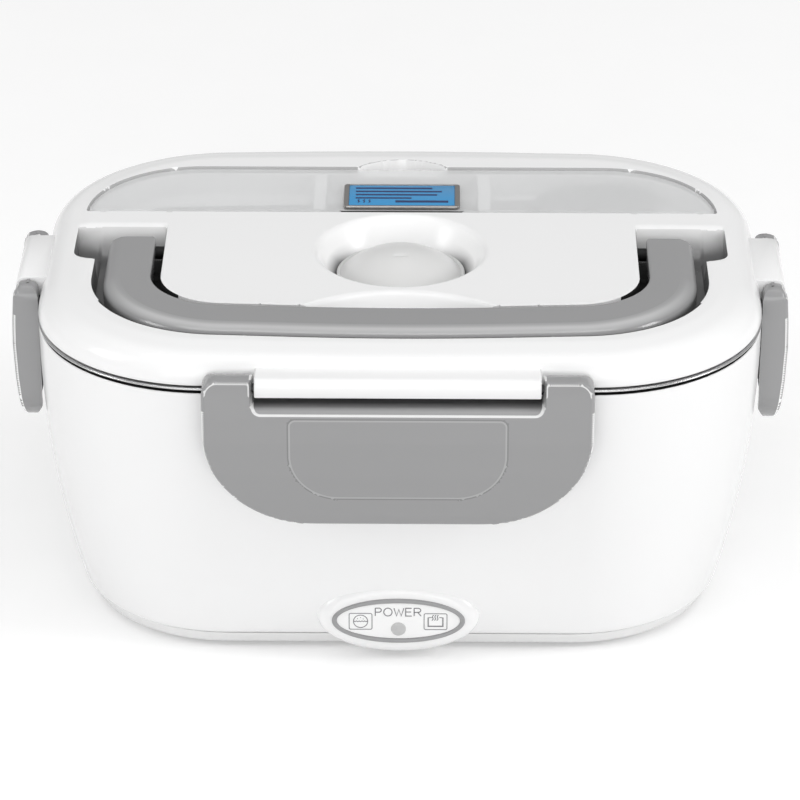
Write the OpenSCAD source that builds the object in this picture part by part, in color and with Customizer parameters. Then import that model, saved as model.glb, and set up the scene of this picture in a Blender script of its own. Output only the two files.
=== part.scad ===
// Electric lunch box: a tapered heated base, a lift-out steel container,
// a lid held by four snap latches, a bail handle and a spoon compartment.
// Millimetres, +Z up, front towards -Y, origin at the centre of the feet's plane.

/* [Base] */
// Width of the box at its rim
rim_w = 218; // [200:1:240]
// Depth of the box at its rim
rim_d = 155; // [140:1:170]
// Corner radius of the rim, seen from above
rim_r = 52; // [44:1:56]
// Height of the base shell
base_h = 87.8; // [80:0.2:100]
// How far each end of the base leans in, rim to bottom
draft_side = 11.2; // [8:0.2:13]
// How far the front and back lean in, rim to bottom
draft_front = 14; // [11:0.2:16]
// How much the corner radius shrinks, rim to bottom
corner_drop = 7; // [4:0.5:10]
// Wall of the base shell
base_wall = 2.4; // [2:0.1:3]
// Rounding of the base shell's lower edge
base_foot_r = 2; // [1:0.1:3]
// Height of the bottom cover that shows under the base shell
plinth_h = 4.5; // [3:0.1:7]
// Setback of the bottom cover from the base shell's lower edge
plinth_inset = 0.5; // [0.2:0.1:1.5]
// Floor thickness of the bottom cover
cover_floor = 2.4; // [2:0.1:3]
// Height of a rubber foot below the bottom cover
foot_h = 1.5; // [1:0.1:3]
// Diameter of a rubber foot
foot_d = 16; // [12:1:20]
// Depth of the seat that holds a foot
foot_seat = 0.8; // [0.5:0.1:1]
// Distance of the screws and feet from the centre, along the width
screw_x = 66; // [64:1:70]
// Distance of the screws and feet from the centre, along the depth
screw_y = 34; // [32:1:38]
// Diameter of a bottom screw
screw_d = 3; // [2.5:0.1:3.5]
// Diameter of a bottom screw's head
screw_head_d = 6; // [5:0.1:6.4]

/* [Liner and container] */
// Wall of the liner tub
liner_wall = 1.8; // [1.5:0.1:2.4]
// Thickness of the liner's flange
liner_flange_t = 1.6; // [1.2:0.1:2]
// Width of the base shell's lip round the liner's flange
lip_w = 2; // [1.6:0.1:2.6]
// Gap all round between the container and the liner
container_gap = 0.8; // [0.5:0.1:1.2]
// Width of the container's flange
flange_w = 7.2; // [6.5:0.1:9]
// Sheet thickness of the container
steel_t = 0.6; // [0.5:0.1:0.8]
// Height of the curled rim of the container
curl_h = 1.8; // [1.4:0.1:2]
// Depth of the container
container_h = 56.5; // [45:0.5:60]
// Taper of the container's ends, mouth to floor
container_taper_x = 4; // [3:0.5:6]
// Taper of the container's long sides, mouth to floor
container_taper_y = 6.5; // [5:0.5:8]
// Rounding between the container's wall and floor
container_floor_r = 9; // [6:1:12]
// Gap under the container and under its flange
rest_gap = 0.3; // [0.2:0.05:0.5]

/* [Heater] */
// Width of the heating plate
plate_w = 116; // [90:1:124]
// Depth of the heating plate
plate_d = 72; // [60:1:80]
// Corner radius of the heating plate
plate_r = 18; // [10:1:24]
// Height of the heating plate above the liner's floor
plate_raise = 1.5; // [1:0.1:3]
// Thickness of the heating plate's flange
plate_flange_t = 1.5; // [1:0.1:2]
// Width of the heating plate's flange
plate_flange_w = 5; // [4:0.5:7]
// Thickness of the silicone seal round the heating plate
plate_seal_t = 1; // [0.8:0.1:1.5]
// Length of the ceramic heater
heater_l = 62; // [40:1:76]
// Width of the ceramic heater
heater_w = 24; // [18:1:30]
// Thickness of the ceramic heater
heater_t = 5; // [4:0.5:7]
// Thickness of the strap that clamps the heater
strap_t = 1.2; // [1:0.1:1.6]
// Width of the strap
strap_w = 12; // [8:1:16]

/* [Power indicator] */
// Width of the indicator ring
ring_w = 40.2; // [36:0.2:44]
// Height of the indicator ring
ring_h = 15.2; // [13:0.2:17]
// Width of the indicator ring's band
ring_band = 1.5; // [1:0.1:2]
// Height of the ring's centre above the floor
ring_z = 14.5; // [14:0.1:17]
// Width of the boss round the ring
boss_margin = 4.4; // [3:0.1:5]
// Distance of the boss's face from the box's centre
boss_y = 69.5; // [68:0.1:72]
// Diameter of the pilot lamp's lens
lens_d = 4.6; // [4:0.1:5.2]
// How far the lens sits below the ring's centre
lens_drop = 2.8; // [2:0.1:3.2]

/* [Power inlet] */
// Width of the inlet's housing
inlet_w = 26; // [24:1:32]
// Height of the inlet's housing
inlet_h = 16; // [14:1:18]
// Depth of the inlet's housing behind the wall
inlet_depth = 13.4; // [13:0.1:15]
// Diameter of each round end of the inlet's socket
socket_d = 8.8; // [8.4:0.1:9.2]
// Distance between the inlet's two pins
pin_pitch = 8.6; // [8:0.1:9]
// Diameter of an inlet pin
inlet_pin_d = 2.4; // [2:0.1:2.8]

/* [Lid] */
// Height of the lid from its lower edge to its flat top
lid_h = 10.8; // [10:0.1:14]
// Gap between the container's curled rim and the lid
lid_gap = 0.3; // [0.2:0.05:0.5]
// Height of the lid's upright edge below its fillet
lid_skirt = 2; // [1.5:0.1:3]
// Width of the lid's fillet, seen from above
lid_fillet_w = 8.5; // [7:0.5:12]
// How much the lid's top is crowned
lid_crown = 0.6; // [0.3:0.1:1]
// Wall of the lid
lid_wall = 1.8; // [1.5:0.1:2.2]
// Depth of the pockets in the lid, below its flat top
pocket_depth = 8.4; // [8.2:0.1:8.8]
// Floor thickness under the lid's pockets
pocket_floor = 1.4; // [1.2:0.1:1.6]
// Thickness of the lid's inner panel
panel_t = 1.6; // [1.2:0.1:1.8]
// Width of the lid's silicone seal
seal_w = 3.6; // [3:0.1:4]

/* [Steam valve] */
// Diameter of the bowl at the lid's top
bowl_d = 51; // [50:0.5:58]
// Diameter of the bowl at its floor
bowl_floor_d = 41; // [40.6:0.2:44]
// Distance of the bowl in front of the lid's centre
bowl_front = 3.4; // [2:0.1:5]
// Diameter of the silicone disc
valve_d = 39.5; // [36:0.5:40]
// Height of the silicone disc at its middle
valve_h = 4.2; // [3:0.2:5]
// Diameter of the vent hole
vent_d = 12; // [10:0.5:14]
// How far the valve lifts
valve_travel = 6; // [5:0.5:8]

/* [Handle] */
// Width of the handle over its legs
handle_w = 179; // [170:1:184]
// Distance of the handle's front edge from the box's centre
handle_front = 60; // [56:0.5:62]
// Outer corner radius of the handle
handle_r = 36; // [32:1:40]
// Width of the handle's band at its legs
handle_band = 14.3; // [12:0.1:15]
// Width of the handle's band at its front
front_band = 17; // [14:0.1:18]
// How far the handle's front bows out in the middle
handle_bow = 2.7; // [0:0.1:3]
// Height of the handle's band
handle_t = 8.2; // [7.6:0.1:8.4]
// Height of the handle's top above the lid's flat top
handle_proud = 0.9; // [0.5:0.1:1.5]
// Distance of the handle's pivot behind the box's centre
pivot_y = 0.5; // [-2:0.5:3]
// Diameter of the handle's pivots
pivot_d = 4; // [3:0.1:4.4]
// Gap between the handle's front and the channel's wall
channel_gap = 1.6; // [1:0.1:2.4]
// Gap between the handle's legs and the channel's inner walls
channel_inner_gap = 2.7; // [2:0.1:4]
// Gap between the handle's front band and the channel's inner wall
front_inner_gap = 2; // [1.6:0.1:3]
// Gap between the handle's legs and the channel's outer wall
leg_gap = 3.2; // [2:0.1:4]
// Extra width of the pockets round the handle's pivots
pivot_pocket_w = 8.6; // [7:0.1:9]

/* [Spoon compartment] */
// Half the distance between the centres of its two round ends
tray_x = 63; // [60:0.5:66]
// Radius of its round ends
tray_r = 35; // [32:0.5:35]
// Distance of its straight front edge from the box's centre
tray_y = 24.6; // [24:0.2:26]
// Width of the ledge that carries the cover
tray_ledge = 1.6; // [1:0.1:2]
// Thickness of the cover
cover_t = 1.6; // [1.4:0.1:2]
// Clearance round the cover
cover_gap = 0.35; // [0.3:0.05:0.5]
// Distance of the cover's hinge behind its front edge
hinge_back = 4.2; // [4:0.1:5]
// Depth of the cover's hinge below the lid's flat top
hinge_drop = 2.9; // [2.8:0.1:3.2]
// Diameter of the cover's hinge pins
hinge_pin_d = 2; // [1.6:0.1:2.2]
// Width of the information plate
info_w = 36.4; // [32:0.2:40]
// Depth of the information plate
info_d = 17; // [12:0.2:18]
// Thickness of the information plate
info_t = 1.2; // [1:0.1:1.2]

/* [Spoon] */
// Length of the spoon
spoon_l = 160; // [140:1:166]
// Length of the spoon's bowl
spoon_bowl_l = 37; // [30:1:42]
// Width of the spoon's bowl
spoon_bowl_w = 26; // [22:1:27]
// Width of the spoon's handle
spoon_handle_w = 8; // [6:0.5:10]
// Thickness of the spoon
spoon_t = 1.4; // [1:0.1:1.8]
// Distance of the spoon's two rests from the middle
rest_x = 25.8; // [22:0.2:30]
// Thickness of a spoon rest
rest_t = 4.4; // [3:0.2:5]

/* [Latches] */
// Width of the front and back latches
latch_w = 114; // [100:1:120]
// Width of each ear of the front and back latches
ear_w = 14.8; // [12:0.2:16]
// Width of the side latches
side_latch_w = 44; // [38:1:46]
// Width of each ear of the side latches
side_ear_w = 6.2; // [5:0.2:7]
// Height of a latch below its hinge
latch_drop = 44.5; // [40:0.5:50]
// Radius of the rounded lower corners of the front and back latches
latch_corner = 33; // [26:1:36]
// Radius of the rounded lower corners of the side latches
side_latch_corner = 14; // [8:1:16]
// Radius of a latch's ear round its hinge pin
ear_r = 3.9; // [3.5:0.1:4.2]
// Height of the back latch's ears and lug above the hinge pin
back_ear_h = 2.5; // [2.4:0.1:3.7]
// Wall of a latch
latch_wall = 2; // [1.6:0.1:2.4]
// Distance of the hinge pins outside the rim
hinge_out = 4.4; // [4.2:0.1:4.8]
// Height of the hinge pins above the lid's lower edge
hinge_up = 3; // [2.6:0.1:3.4]
// Diameter of the latches' hinge pins
latch_pin_d = 2.5; // [2:0.1:2.8]
// Depth of the hook below the hinge
hook_drop = 22.7; // [20:0.1:26]
// How far a hook reaches under its ridge
hook_catch = 0.75; // [0.6:0.05:0.9]
// Free height between a hook and its ridge
hook_play = 2.1; // [2:0.1:2.4]
// How far a ridge stands out from the base
ridge_out = 1.8; // [1.4:0.1:2]
// Gap between a latch's ear and the lug beside it
ear_gap = 0.6; // [0.4:0.1:1]

/* [Hidden] */

$fn = 48;
corner_steps = 12;      // straight pieces in a quarter corner of a lofted ring
fit = 0.06;             // radial clearance of a running fit
press = 0.01;           // radial clearance of a tight fit
eps = 0.05;             // overlap of solids that are joined in one piece
white = [0.96, 0.96, 0.96];
grey = [0.66, 0.66, 0.66];
steel = [0.78, 0.79, 0.8];
silicone = [0.85, 0.85, 0.83];

// Heights, from the floor up
base_z = foot_h + plinth_h;
base_top = base_z + base_h;
flange_z = base_top + rest_gap;
lid_z = flange_z + curl_h + lid_gap;
lid_top = lid_z + lid_h;
pocket_z = lid_top - pocket_depth;
panel_z = pocket_z - pocket_floor - panel_t - 0.2;
container_z = flange_z + curl_h - container_h;
plate_top = container_z - rest_gap;
liner_floor_top = plate_top - plate_raise;
liner_floor_z = liner_floor_top - liner_wall;
plate_flange_top = liner_floor_z - plate_seal_t;
plate_bottom = plate_flange_top - plate_flange_t;
boss_screw_z = base_z + 3;
seal_h = 1.7;
lid_fillet_h = lid_h - lid_skirt - lid_crown;
fillet_angles = [0, 15, 30, 45, 60, 75, 90];
pivot_z = lid_top + handle_proud - handle_t / 2;
cover_z = lid_top - 0.5 - cover_t;
info_z = lid_top - 0.4;
// The inlet sits halfway between the housing's lower edge and the liner's floor
inlet_z = (base_z + liner_floor_z) / 2;

// Places and lengths seen from above
strap_x = heater_l / 2 + 6;
bow_reach = 75;         // half the width over which the handle's front bows out
bulge = 2.6;            // how far the long sides of the lid's fillet are filled out
bulge_reach = 85;
lug_l = latch_w - 2 * ear_w - 2 * ear_gap;
side_lug_l = side_latch_w - 2 * side_ear_w - 2 * ear_gap;
island_half = handle_w / 2 - handle_band - channel_inner_gap;
island_front = handle_front - front_band - front_inner_gap;
island_r = 19;
channel_back = pivot_y + 14.5;
hinge_reach = tray_x + tray_r + 1.6;
info_y = tray_y + 2.6;
hook_z = lid_z + hinge_up - hook_drop;   // height of a hook's top
hook_wall_lean = draft_side * pow((base_top - hook_z) / base_h, 2);
spoon_turn = 4.2;       // how far the spoon lies askew, degrees
scoop_y = -77;          // centre, radius and depth of the scoop behind the handle
scoop_r = 44.2;
scoop_depth = 5;
notch_y = 45;           // centre, radius and depth of the notch behind the spoon cover
notch_r = 19.6;
notch_depth = 3.4;
boss_d = 8.4;           // diameter of the liner's screw posts
fuse_l = 12;            // length of the thermal fuse, and of each of its leads
lead_l = 8;
sensor_y = 24;          // distance of thermostat and fuse from the middle
board_w = 30;           // size of the indicator's circuit board
board_h = 9.2;
wide_grip_margin = 25.2;
side_grip_margin = 9;

// Half sizes of the base shell's outside at a height, its top being 0 and its bottom 1
function lean(z) = pow((base_top - z) / base_h, 2);
function base_hw(z) = rim_w / 2 - draft_side * lean(z);
function base_hd(z) = rim_d / 2 - draft_front * lean(z);
function base_cr(z) = rim_r - corner_drop * lean(z);

// One ring of a loft: a rounded rectangle, anticlockwise from above
function ring(hw, hd, r, z) = [
    for (corner = [0 : 3])
        for (i = [0 : corner_steps])
            let (a = 90 * (corner + i / corner_steps),
                 sx = (corner == 0 || corner == 3) ? 1 : -1,
                 sy = corner < 2 ? 1 : -1)
            [sx * (hw - r) + r * cos(a), sy * (hd - r) + r * sin(a), z]
];

// A ring of the rim's outline, moved in by an inset
function rim_ring(inset, z) = ring(rim_w / 2 - inset, rim_d / 2 - inset, max(rim_r - inset, 1), z);

// A ring of the base shell's outline, moved in by an inset
function base_ring(inset, z) =
    ring(base_hw(z) - inset, base_hd(z) - inset, base_cr(z) - inset, z);

// A skin over rings, closed by its two end faces or joined end to end
module loft(rings, joined = false) {
    n = len(rings[0]);
    last = len(rings) - 1;
    sides = [
        for (i = [0 : (joined ? last : last - 1)])
            for (j = [0 : n - 1])
                let (a = i * n + j,
                     b = i * n + (j + 1) % n,
                     c = ((i + 1) % (last + 1)) * n + (j + 1) % n,
                     d = ((i + 1) % (last + 1)) * n + j)
                each [[a, d, c], [a, c, b]]
    ];
    caps = joined ? [] : [[for (j = [0 : n - 1]) j], [for (j = [n - 1 : -1 : 0]) last * n + j]];
    polyhedron(points = [for (r = rings) each r], faces = concat(sides, caps), convexity = 8);
}

// A rounded rectangle with true arcs
module rounded_rect(w, d, r) {
    square([w - 2 * r, d], center = true);
    square([w, d - 2 * r], center = true);
    for (sx = [-1, 1]) {
        for (sy = [-1, 1]) {
            translate([sx * (w / 2 - r), sy * (d / 2 - r)]) circle(r);
        }
    }
}

// An oval's points
function oval(w, h, steps = 48) = [for (i = [0 : steps - 1])
    [w / 2 * cos(360 * i / steps), h / 2 * sin(360 * i / steps)]];

// An oval disc facing the front at the indicator's height, from y_front back over a length
module indicator_oval(y_front, length, w, h) {
    translate([0, y_front + length, ring_z]) rotate([90, 0, 0]) linear_extrude(length)
        polygon(oval(w, h));
}

// Puts a child at each screw and foot
module at_screws() {
    for (sx = [-1, 1]) {
        for (sy = [-1, 1]) {
            translate([sx * screw_x, sy * screw_y, 0]) children();
        }
    }
}

// ---------- Base ----------

module base_skin() {
    steps = [0.975, 0.92, 0.84, 0.74, 0.62, 0.48, 0.32, 0.16];
    shelf_z = base_top - liner_flange_t;
    edge_r = 0.8;
    loft(concat(
        [base_ring(base_foot_r, base_z), base_ring(base_foot_r * 0.3, base_z + base_foot_r * 0.3)],
        [for (t = steps) base_ring(0, base_top - base_h * t)],
        [base_ring(0, base_top - edge_r), rim_ring(edge_r * 0.3, base_top - edge_r * 0.3),
         rim_ring(edge_r, base_top), rim_ring(lip_w, base_top), rim_ring(lip_w, shelf_z),
         rim_ring(lip_w + 2.1, shelf_z), rim_ring(lip_w + 2.1, shelf_z - 1.5),
         base_ring(base_wall, shelf_z - 6)],
        [for (t = [0.3, 0.5, 0.7, 0.86]) base_ring(base_wall, base_top - base_h * t)],
        [base_ring(base_wall, base_z + 0.5), base_ring(base_wall + 0.2, base_z)]
    ), joined = true);
}

// The ridge that a latch hooks under, on a wall at out, along X
module ridge(out, length) {
    z0 = hook_z + hook_play;
    upright_profile = [[out - base_wall, z0], [out + ridge_out, z0], [out + ridge_out, z0 + 1.2],
                       [out - 0.2, z0 + 4.4], [out - base_wall, z0 + 4.4]];
    translate([-length / 2, 0, 0]) rotate([90, 0, 90]) linear_extrude(length)
        polygon(upright_profile);
}

// The oval boss round the power indicator, swelling out of the front wall
module indicator_boss() {
    w = ring_w + 2 * boss_margin;
    h = ring_h + 2 * boss_margin;
    sections = [[0, 0], [0.4, -9.4], [1.0, -11.2], [2.0, -12.3], [3.2, -12.8]];
    rings = [for (s = sections) [for (p = oval(w - 2 * s[0], h - 2 * s[0]))
        [p[0], 12.8 - boss_y + s[1], ring_z + p[1]]]];
    loft(rings);
}

module base_shell() {
    color(white) difference() {
        union() {
            base_skin();
            difference() {
                indicator_boss();
                // clear of the bottom cover, and open to the inside
                translate([-50, -base_hd(base_z) - 0.3 + plinth_inset, -1]) cube([100, 60, base_z + 1.05]);
                indicator_oval(-boss_y + 2.6, 20, ring_w + 3.6, ring_h + 3.6);
                translate([-50, -base_hd(ring_z) + base_wall + 1, 0]) cube([100, 60, 60]);
            }
            for (a = [0, 180]) {
                rotate([0, 0, a]) ridge(base_hd(hook_z), latch_w / 2);
            }
            for (a = [90, 270]) {
                rotate([0, 0, a]) ridge(base_hw(hook_z), side_latch_w * 0.55);
            }
        }
        // window behind the boss, inside its wall
        indicator_oval(-boss_y + 2.6, 20, ring_w + 3.6, ring_h - 2);
        // seat of the printed face and the ring, and the hole of the lens
        indicator_oval(-boss_y - 1, 1.5, ring_w, ring_h);
        translate([0, -boss_y - 2, ring_z - lens_drop]) rotate([-90, 0, 0])
            cylinder(d = lens_d, h = 20);
        // window of the power inlet
        translate([-inlet_w / 2, base_hd(inlet_z) - 12, inlet_z - inlet_h / 2])
            cube([inlet_w, 24, inlet_h]);
    }
}

module base_liner() {
    top_in = flange_w - container_gap;
    mid_z = (flange_z + liner_floor_top) / 2;
    function tub(extra, z) =
        let (t = (flange_z - z) / (flange_z + curl_h - container_z))
        ring(rim_w / 2 - top_in - container_taper_x * t + extra,
             rim_d / 2 - top_in - container_taper_y * t + extra,
             rim_r - top_in + extra - 3 * t, z);
    function tub_in(inset, z) =
        let (t = (flange_z - z) / (flange_z + curl_h - container_z))
        ring(rim_w / 2 - top_in - container_taper_x * t - inset,
             rim_d / 2 - top_in - container_taper_y * t - inset,
             max(rim_r - top_in - inset - 3 * t, 4), z);
    flange_bottom = base_top - liner_flange_t;
    fr = container_floor_r;
    color([0.93, 0.93, 0.93]) difference() {
        union() {
            loft([
                tub_in(fr - liner_wall, liner_floor_z),
                tub_in((fr - liner_wall) * 0.3, liner_floor_z + fr * 0.3),
                tub(liner_wall, liner_floor_z + fr), tub(liner_wall, flange_bottom),
                rim_ring(lip_w + 0.2, flange_bottom), rim_ring(lip_w + 0.2, base_top),
                tub(0, base_top), tub(0, mid_z), tub(0, liner_floor_top + fr),
                tub_in(fr * 0.3, liner_floor_top + fr * 0.3), tub_in(fr, liner_floor_top)
            ]);
            at_screws() translate([0, 0, boss_screw_z])
                cylinder(d = boss_d, h = liner_floor_z - boss_screw_z + eps);
        }
        translate([0, 0, liner_floor_z - 5]) linear_extrude(12)
            rounded_rect(plate_w + 1, plate_d + 1, plate_r + 0.5);
        at_screws() translate([0, 0, boss_screw_z - 1]) cylinder(d = screw_d + 2 * press, h = 10);
    }
}

module bottom_cover() {
    z_floor = foot_h;
    lip_z = base_z + 2.6;
    w = 2 * (base_hw(base_z) - base_foot_r - plinth_inset);
    d = 2 * (base_hd(base_z) - base_foot_r - plinth_inset);
    r = base_cr(base_z) - base_foot_r;
    grow = base_foot_r;
    color(white) difference() {
        union() {
            loft([
                ring(w / 2 - 1.2, d / 2 - 1.2, r - 1.2, z_floor),
                ring(w / 2 - 0.2, d / 2 - 0.2, r - 0.2, z_floor + 0.8),
                ring(w / 2 + grow - 0.4, d / 2 + grow - 0.4, r + grow, base_z - 0.02),
                ring(w / 2 - 1.2, d / 2 - 1.2, r - 1, base_z - 0.02),
                ring(w / 2 - 1.2, d / 2 - 1.2, r - 1, lip_z),
                ring(w / 2 - 3, d / 2 - 3, r - 3, lip_z),
                ring(w / 2 - 3, d / 2 - 3, r - 3, z_floor + cover_floor)
            ]);
            at_screws() cylinder_between(11, z_floor + cover_floor - eps, boss_screw_z);
            // stiffening ribs across the floor
            for (x = [-30, 0, 30]) {
                translate([x - 0.8, -d / 2 + 4, z_floor + cover_floor - eps])
                    cube([1.6, d - 8, 2.2]);
            }
        }
        at_screws() {
            cylinder_between(foot_d + 0.3, z_floor - 1, z_floor + foot_seat);
            cylinder_between(screw_head_d + 0.6, z_floor, z_floor + foot_seat + 2.2);
            cylinder_between(screw_d + 0.4, z_floor, boss_screw_z + 1);
        }
        // rows of vent slots
        for (y = [-12 : 6 : 12]) {
            translate([0, y, z_floor - 1]) for (x = [-15, 15]) {
                translate([x, 0, 0]) linear_extrude(cover_floor + 2) rounded_rect(18, 1.8, 0.8);
            }
        }
    }
}

// A cylinder between two heights
module cylinder_between(d, z0, z1) {
    translate([0, 0, z0]) cylinder(d = d, h = z1 - z0);
}

module bottom_screws() {
    head_z = foot_h + foot_seat;
    color(steel) at_screws() difference() {
        union() {
            cylinder_between(screw_head_d, head_z + 0.1, head_z + 2.2);
            cylinder_between(screw_d, head_z + 2.1, head_z + 12);
        }
        translate([-2, -0.4, head_z - 1]) cube([4, 0.8, 2]);
        translate([-0.4, -2, head_z - 1]) cube([0.8, 4, 2]);
    }
}

module rubber_foot(sx, sy) {
    color([0.25, 0.25, 0.26]) translate([sx * screw_x, sy * screw_y, 0]) rotate_extrude()
        polygon([[0, 0], [foot_d / 2 - 0.6, 0], [foot_d / 2, 0.6],
                 [foot_d / 2, foot_h + foot_seat], [0, foot_h + foot_seat]]);
}

// ---------- Heater ----------

module heating_plate() {
    color([0.75, 0.76, 0.78]) difference() {
        union() {
            translate([0, 0, plate_bottom]) linear_extrude(plate_flange_t)
                rounded_rect(plate_w + 2 * plate_flange_w, plate_d + 2 * plate_flange_w,
                             plate_r + plate_flange_w);
            translate([0, 0, plate_bottom]) linear_extrude(plate_top - plate_bottom)
                rounded_rect(plate_w, plate_d, plate_r);
            for (x = [-1, 1]) {
                translate([x * strap_x, 0, 0])
                    cylinder_between(6, plate_bottom - heater_t, plate_bottom + eps);
            }
        }
        for (x = [-1, 1]) {
            translate([x * strap_x, 0, 0])
                cylinder_between(2.5 + 2 * press, plate_bottom - heater_t - 1, plate_bottom + 1);
        }
    }
}

module plate_seal() {
    color(silicone) translate([0, 0, plate_flange_top]) linear_extrude(plate_seal_t) difference() {
        rounded_rect(plate_w + 2 * plate_flange_w, plate_d + 2 * plate_flange_w,
                     plate_r + plate_flange_w);
        rounded_rect(plate_w + 0.2, plate_d + 0.2, plate_r + 0.1);
    }
}

module heater_element() {
    color([0.9, 0.88, 0.82]) translate([0, 0, plate_bottom - heater_t]) linear_extrude(heater_t)
        rounded_rect(heater_l, heater_w, 2);
}

module heater_strap() {
    z = plate_bottom - heater_t - strap_t;
    color(steel) difference() {
        translate([0, 0, z]) linear_extrude(strap_t)
            rounded_rect(2 * strap_x + 10, strap_w, 3);
        for (x = [-1, 1]) {
            translate([x * strap_x, 0, 0]) cylinder_between(2.8, z - 1, z + strap_t + 1);
        }
    }
}

module strap_screws() {
    z = plate_bottom - heater_t - strap_t;
    color(steel) for (x = [-1, 1]) {
        translate([x * strap_x, 0, 0]) {
            cylinder_between(5, z - 1.8, z);
            cylinder_between(2.5, z - 0.5, plate_bottom - 0.5);
        }
    }
}

module thermostat() {
    color([0.2, 0.2, 0.22]) translate([0, sensor_y, 0]) {
        cylinder_between(16, plate_bottom - 8, plate_bottom);
        for (x = [-4.5, 4.5]) {
            translate([x - 2, -0.4, plate_bottom - 14]) cube([4, 0.8, 7]);
        }
    }
}

module thermal_fuse() {
    color([0.8, 0.8, 0.78]) translate([0, -sensor_y, plate_bottom - 2]) rotate([0, 90, 0]) {
        cylinder(d = 4, h = fuse_l, center = true);
        cylinder(d = 1, h = fuse_l + 2 * lead_l, center = true);
    }
}

// ---------- Power indicator ----------

module indicator_ring() {
    color([0.6, 0.6, 0.6]) difference() {
        indicator_oval(-boss_y - 0.7, 1.2 - press, ring_w - 2 * press, ring_h - 2 * press);
        indicator_oval(-boss_y - 2, 4, ring_w - 2 * ring_band, ring_h - 2 * ring_band);
    }
}

module indicator_face() {
    color(white) difference() {
        indicator_oval(-boss_y - 0.2, 0.7 - press, ring_w - 2 * ring_band - 2 * press,
                       ring_h - 2 * ring_band - 2 * press);
        translate([0, -boss_y - 2, ring_z - lens_drop]) rotate([-90, 0, 0])
            cylinder(d = lens_d + 2 * press, h = 10);
    }
}

module indicator_lens() {
    color([0.7, 0.7, 0.7]) translate([0, -boss_y - 0.9, ring_z - lens_drop]) rotate([-90, 0, 0])
        rotate_extrude() polygon([[0, 0], [lens_d * 0.3, 0.15], [lens_d * 0.43, 0.45],
                                  [lens_d / 2 - press, 0.9], [lens_d / 2 - press, 5], [0, 5]]);
}

module indicator_board() {
    color([0.2, 0.45, 0.3]) translate([-board_w / 2, -boss_y + 7.4, ring_z - board_h / 2])
        cube([board_w, 1.4, board_h]);
}

module indicator_lamp() {
    color([0.9, 0.9, 0.6]) translate([0, -boss_y + 4.3, ring_z - lens_drop]) rotate([-90, 0, 0])
        cylinder(d = 3, h = 3.1);
}

// ---------- Power inlet ----------

module inlet_housing() {
    back = base_hd(inlet_z);
    color([0.12, 0.12, 0.13]) difference() {
        union() {
            translate([-inlet_w / 2 + press, back - inlet_depth - 0.6, inlet_z - inlet_h / 2 + press])
                cube([inlet_w - 2 * press, inlet_depth, inlet_h - 2 * press]);
            translate([-inlet_w / 2 - 2, back - 8.6, inlet_z - inlet_h / 2 - 1.5])
                cube([inlet_w + 4, 2.5, inlet_h + 3]);
        }
        // figure-of-eight socket
        translate([0, back - 11.5, inlet_z]) rotate([-90, 0, 0]) for (x = [-1, 1]) {
            translate([x * pin_pitch / 2, 0, 0]) cylinder(d = socket_d, h = 20);
        }
        translate([-pin_pitch / 2, back - 11.5, inlet_z - 3]) cube([pin_pitch, 20, 6]);
        for (x = [-1, 1]) {
            translate([x * pin_pitch / 2, back - 20, inlet_z]) rotate([-90, 0, 0])
                cylinder(d = inlet_pin_d + 2 * press, h = 20);
        }
    }
}

module inlet_pins() {
    color(steel) for (x = [-1, 1]) {
        translate([x * pin_pitch / 2, base_hd(inlet_z) - 17, inlet_z]) rotate([-90, 0, 0])
            cylinder(d = inlet_pin_d, h = 13.5);
    }
}

// ---------- Container ----------

module steel_container() {
    function box(inset, t) = ring(rim_w / 2 - flange_w - container_taper_x * t - inset,
                                  rim_d / 2 - flange_w - container_taper_y * t - inset,
                                  rim_r - flange_w - 3 * t - inset,
                                  flange_z + curl_h - container_h * t);
    function floor_ring(inset, z) =
        let (fr = container_floor_r)
        ring(rim_w / 2 - flange_w - container_taper_x - inset,
             rim_d / 2 - flange_w - container_taper_y - inset,
             rim_r - flange_w - 3 - inset, z);
    fr = container_floor_r;
    t_round = 1 - fr / container_h;
    neck = curl_h / container_h;
    s = steel_t;
    z0 = container_z;
    top = flange_z + curl_h;
    deck = flange_z + curl_h / 2;
    color(steel) loft([
        floor_ring(fr, z0), floor_ring(fr * 0.5, z0 + fr * 0.13), floor_ring(fr * 0.13, z0 + fr * 0.5),
        box(0, t_round), box(0, 0.5), box(0, neck),
        rim_ring(flange_w - 0.6, deck - s / 2), rim_ring(1.7, deck - s / 2),
        rim_ring(1.4, flange_z), rim_ring(0.5, flange_z), rim_ring(-0.1, flange_z + curl_h * 0.25),
        rim_ring(-0.3, deck), rim_ring(-0.1, flange_z + curl_h * 0.75), rim_ring(0.5, top),
        rim_ring(1.4, top), rim_ring(2.2, deck + s / 2), rim_ring(flange_w, deck + s / 2),
        box(s, neck + 0.01), box(s, 0.5), box(s, t_round),
        floor_ring(fr * 0.13 + s, z0 + fr * 0.5), floor_ring(fr * 0.5 + s * 0.5, z0 + fr * 0.13 + s * 0.7),
        floor_ring(fr + s * 0.4, z0 + s)
    ]);
}

// ---------- Lid ----------

// The lid's outer skin and its hollow underside as one skin
// How much of the fillet's filling-out is present at x
function bulge_at(x) = pow(max(1 - pow(x / bulge_reach, 2), 0), 1.5);

// A ring of the lid, its long sides moved out by up to an amount
function lid_ring(inset, z, out = 0) =
    let (ring_points = rim_ring(inset, z), n = corner_steps + 1, half = ring_points[corner_steps][0],
         depth = rim_d / 2 - inset)
    [for (p = concat(
        [for (i = [0 : n - 1]) ring_points[i]],
        [for (k = [1 : 7]) [half * (1 - k / 4), depth, z]],
        [for (i = [n : 3 * n - 1]) ring_points[i]],
        [for (k = [1 : 7]) [-half * (1 - k / 4), -depth, z]],
        [for (i = [3 * n : 4 * n - 1]) ring_points[i]]))
        [p[0], p[1] + sign(p[1]) * out * bulge_at(p[0]) * min(abs(p[1]) / depth, 1), z]];

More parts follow.
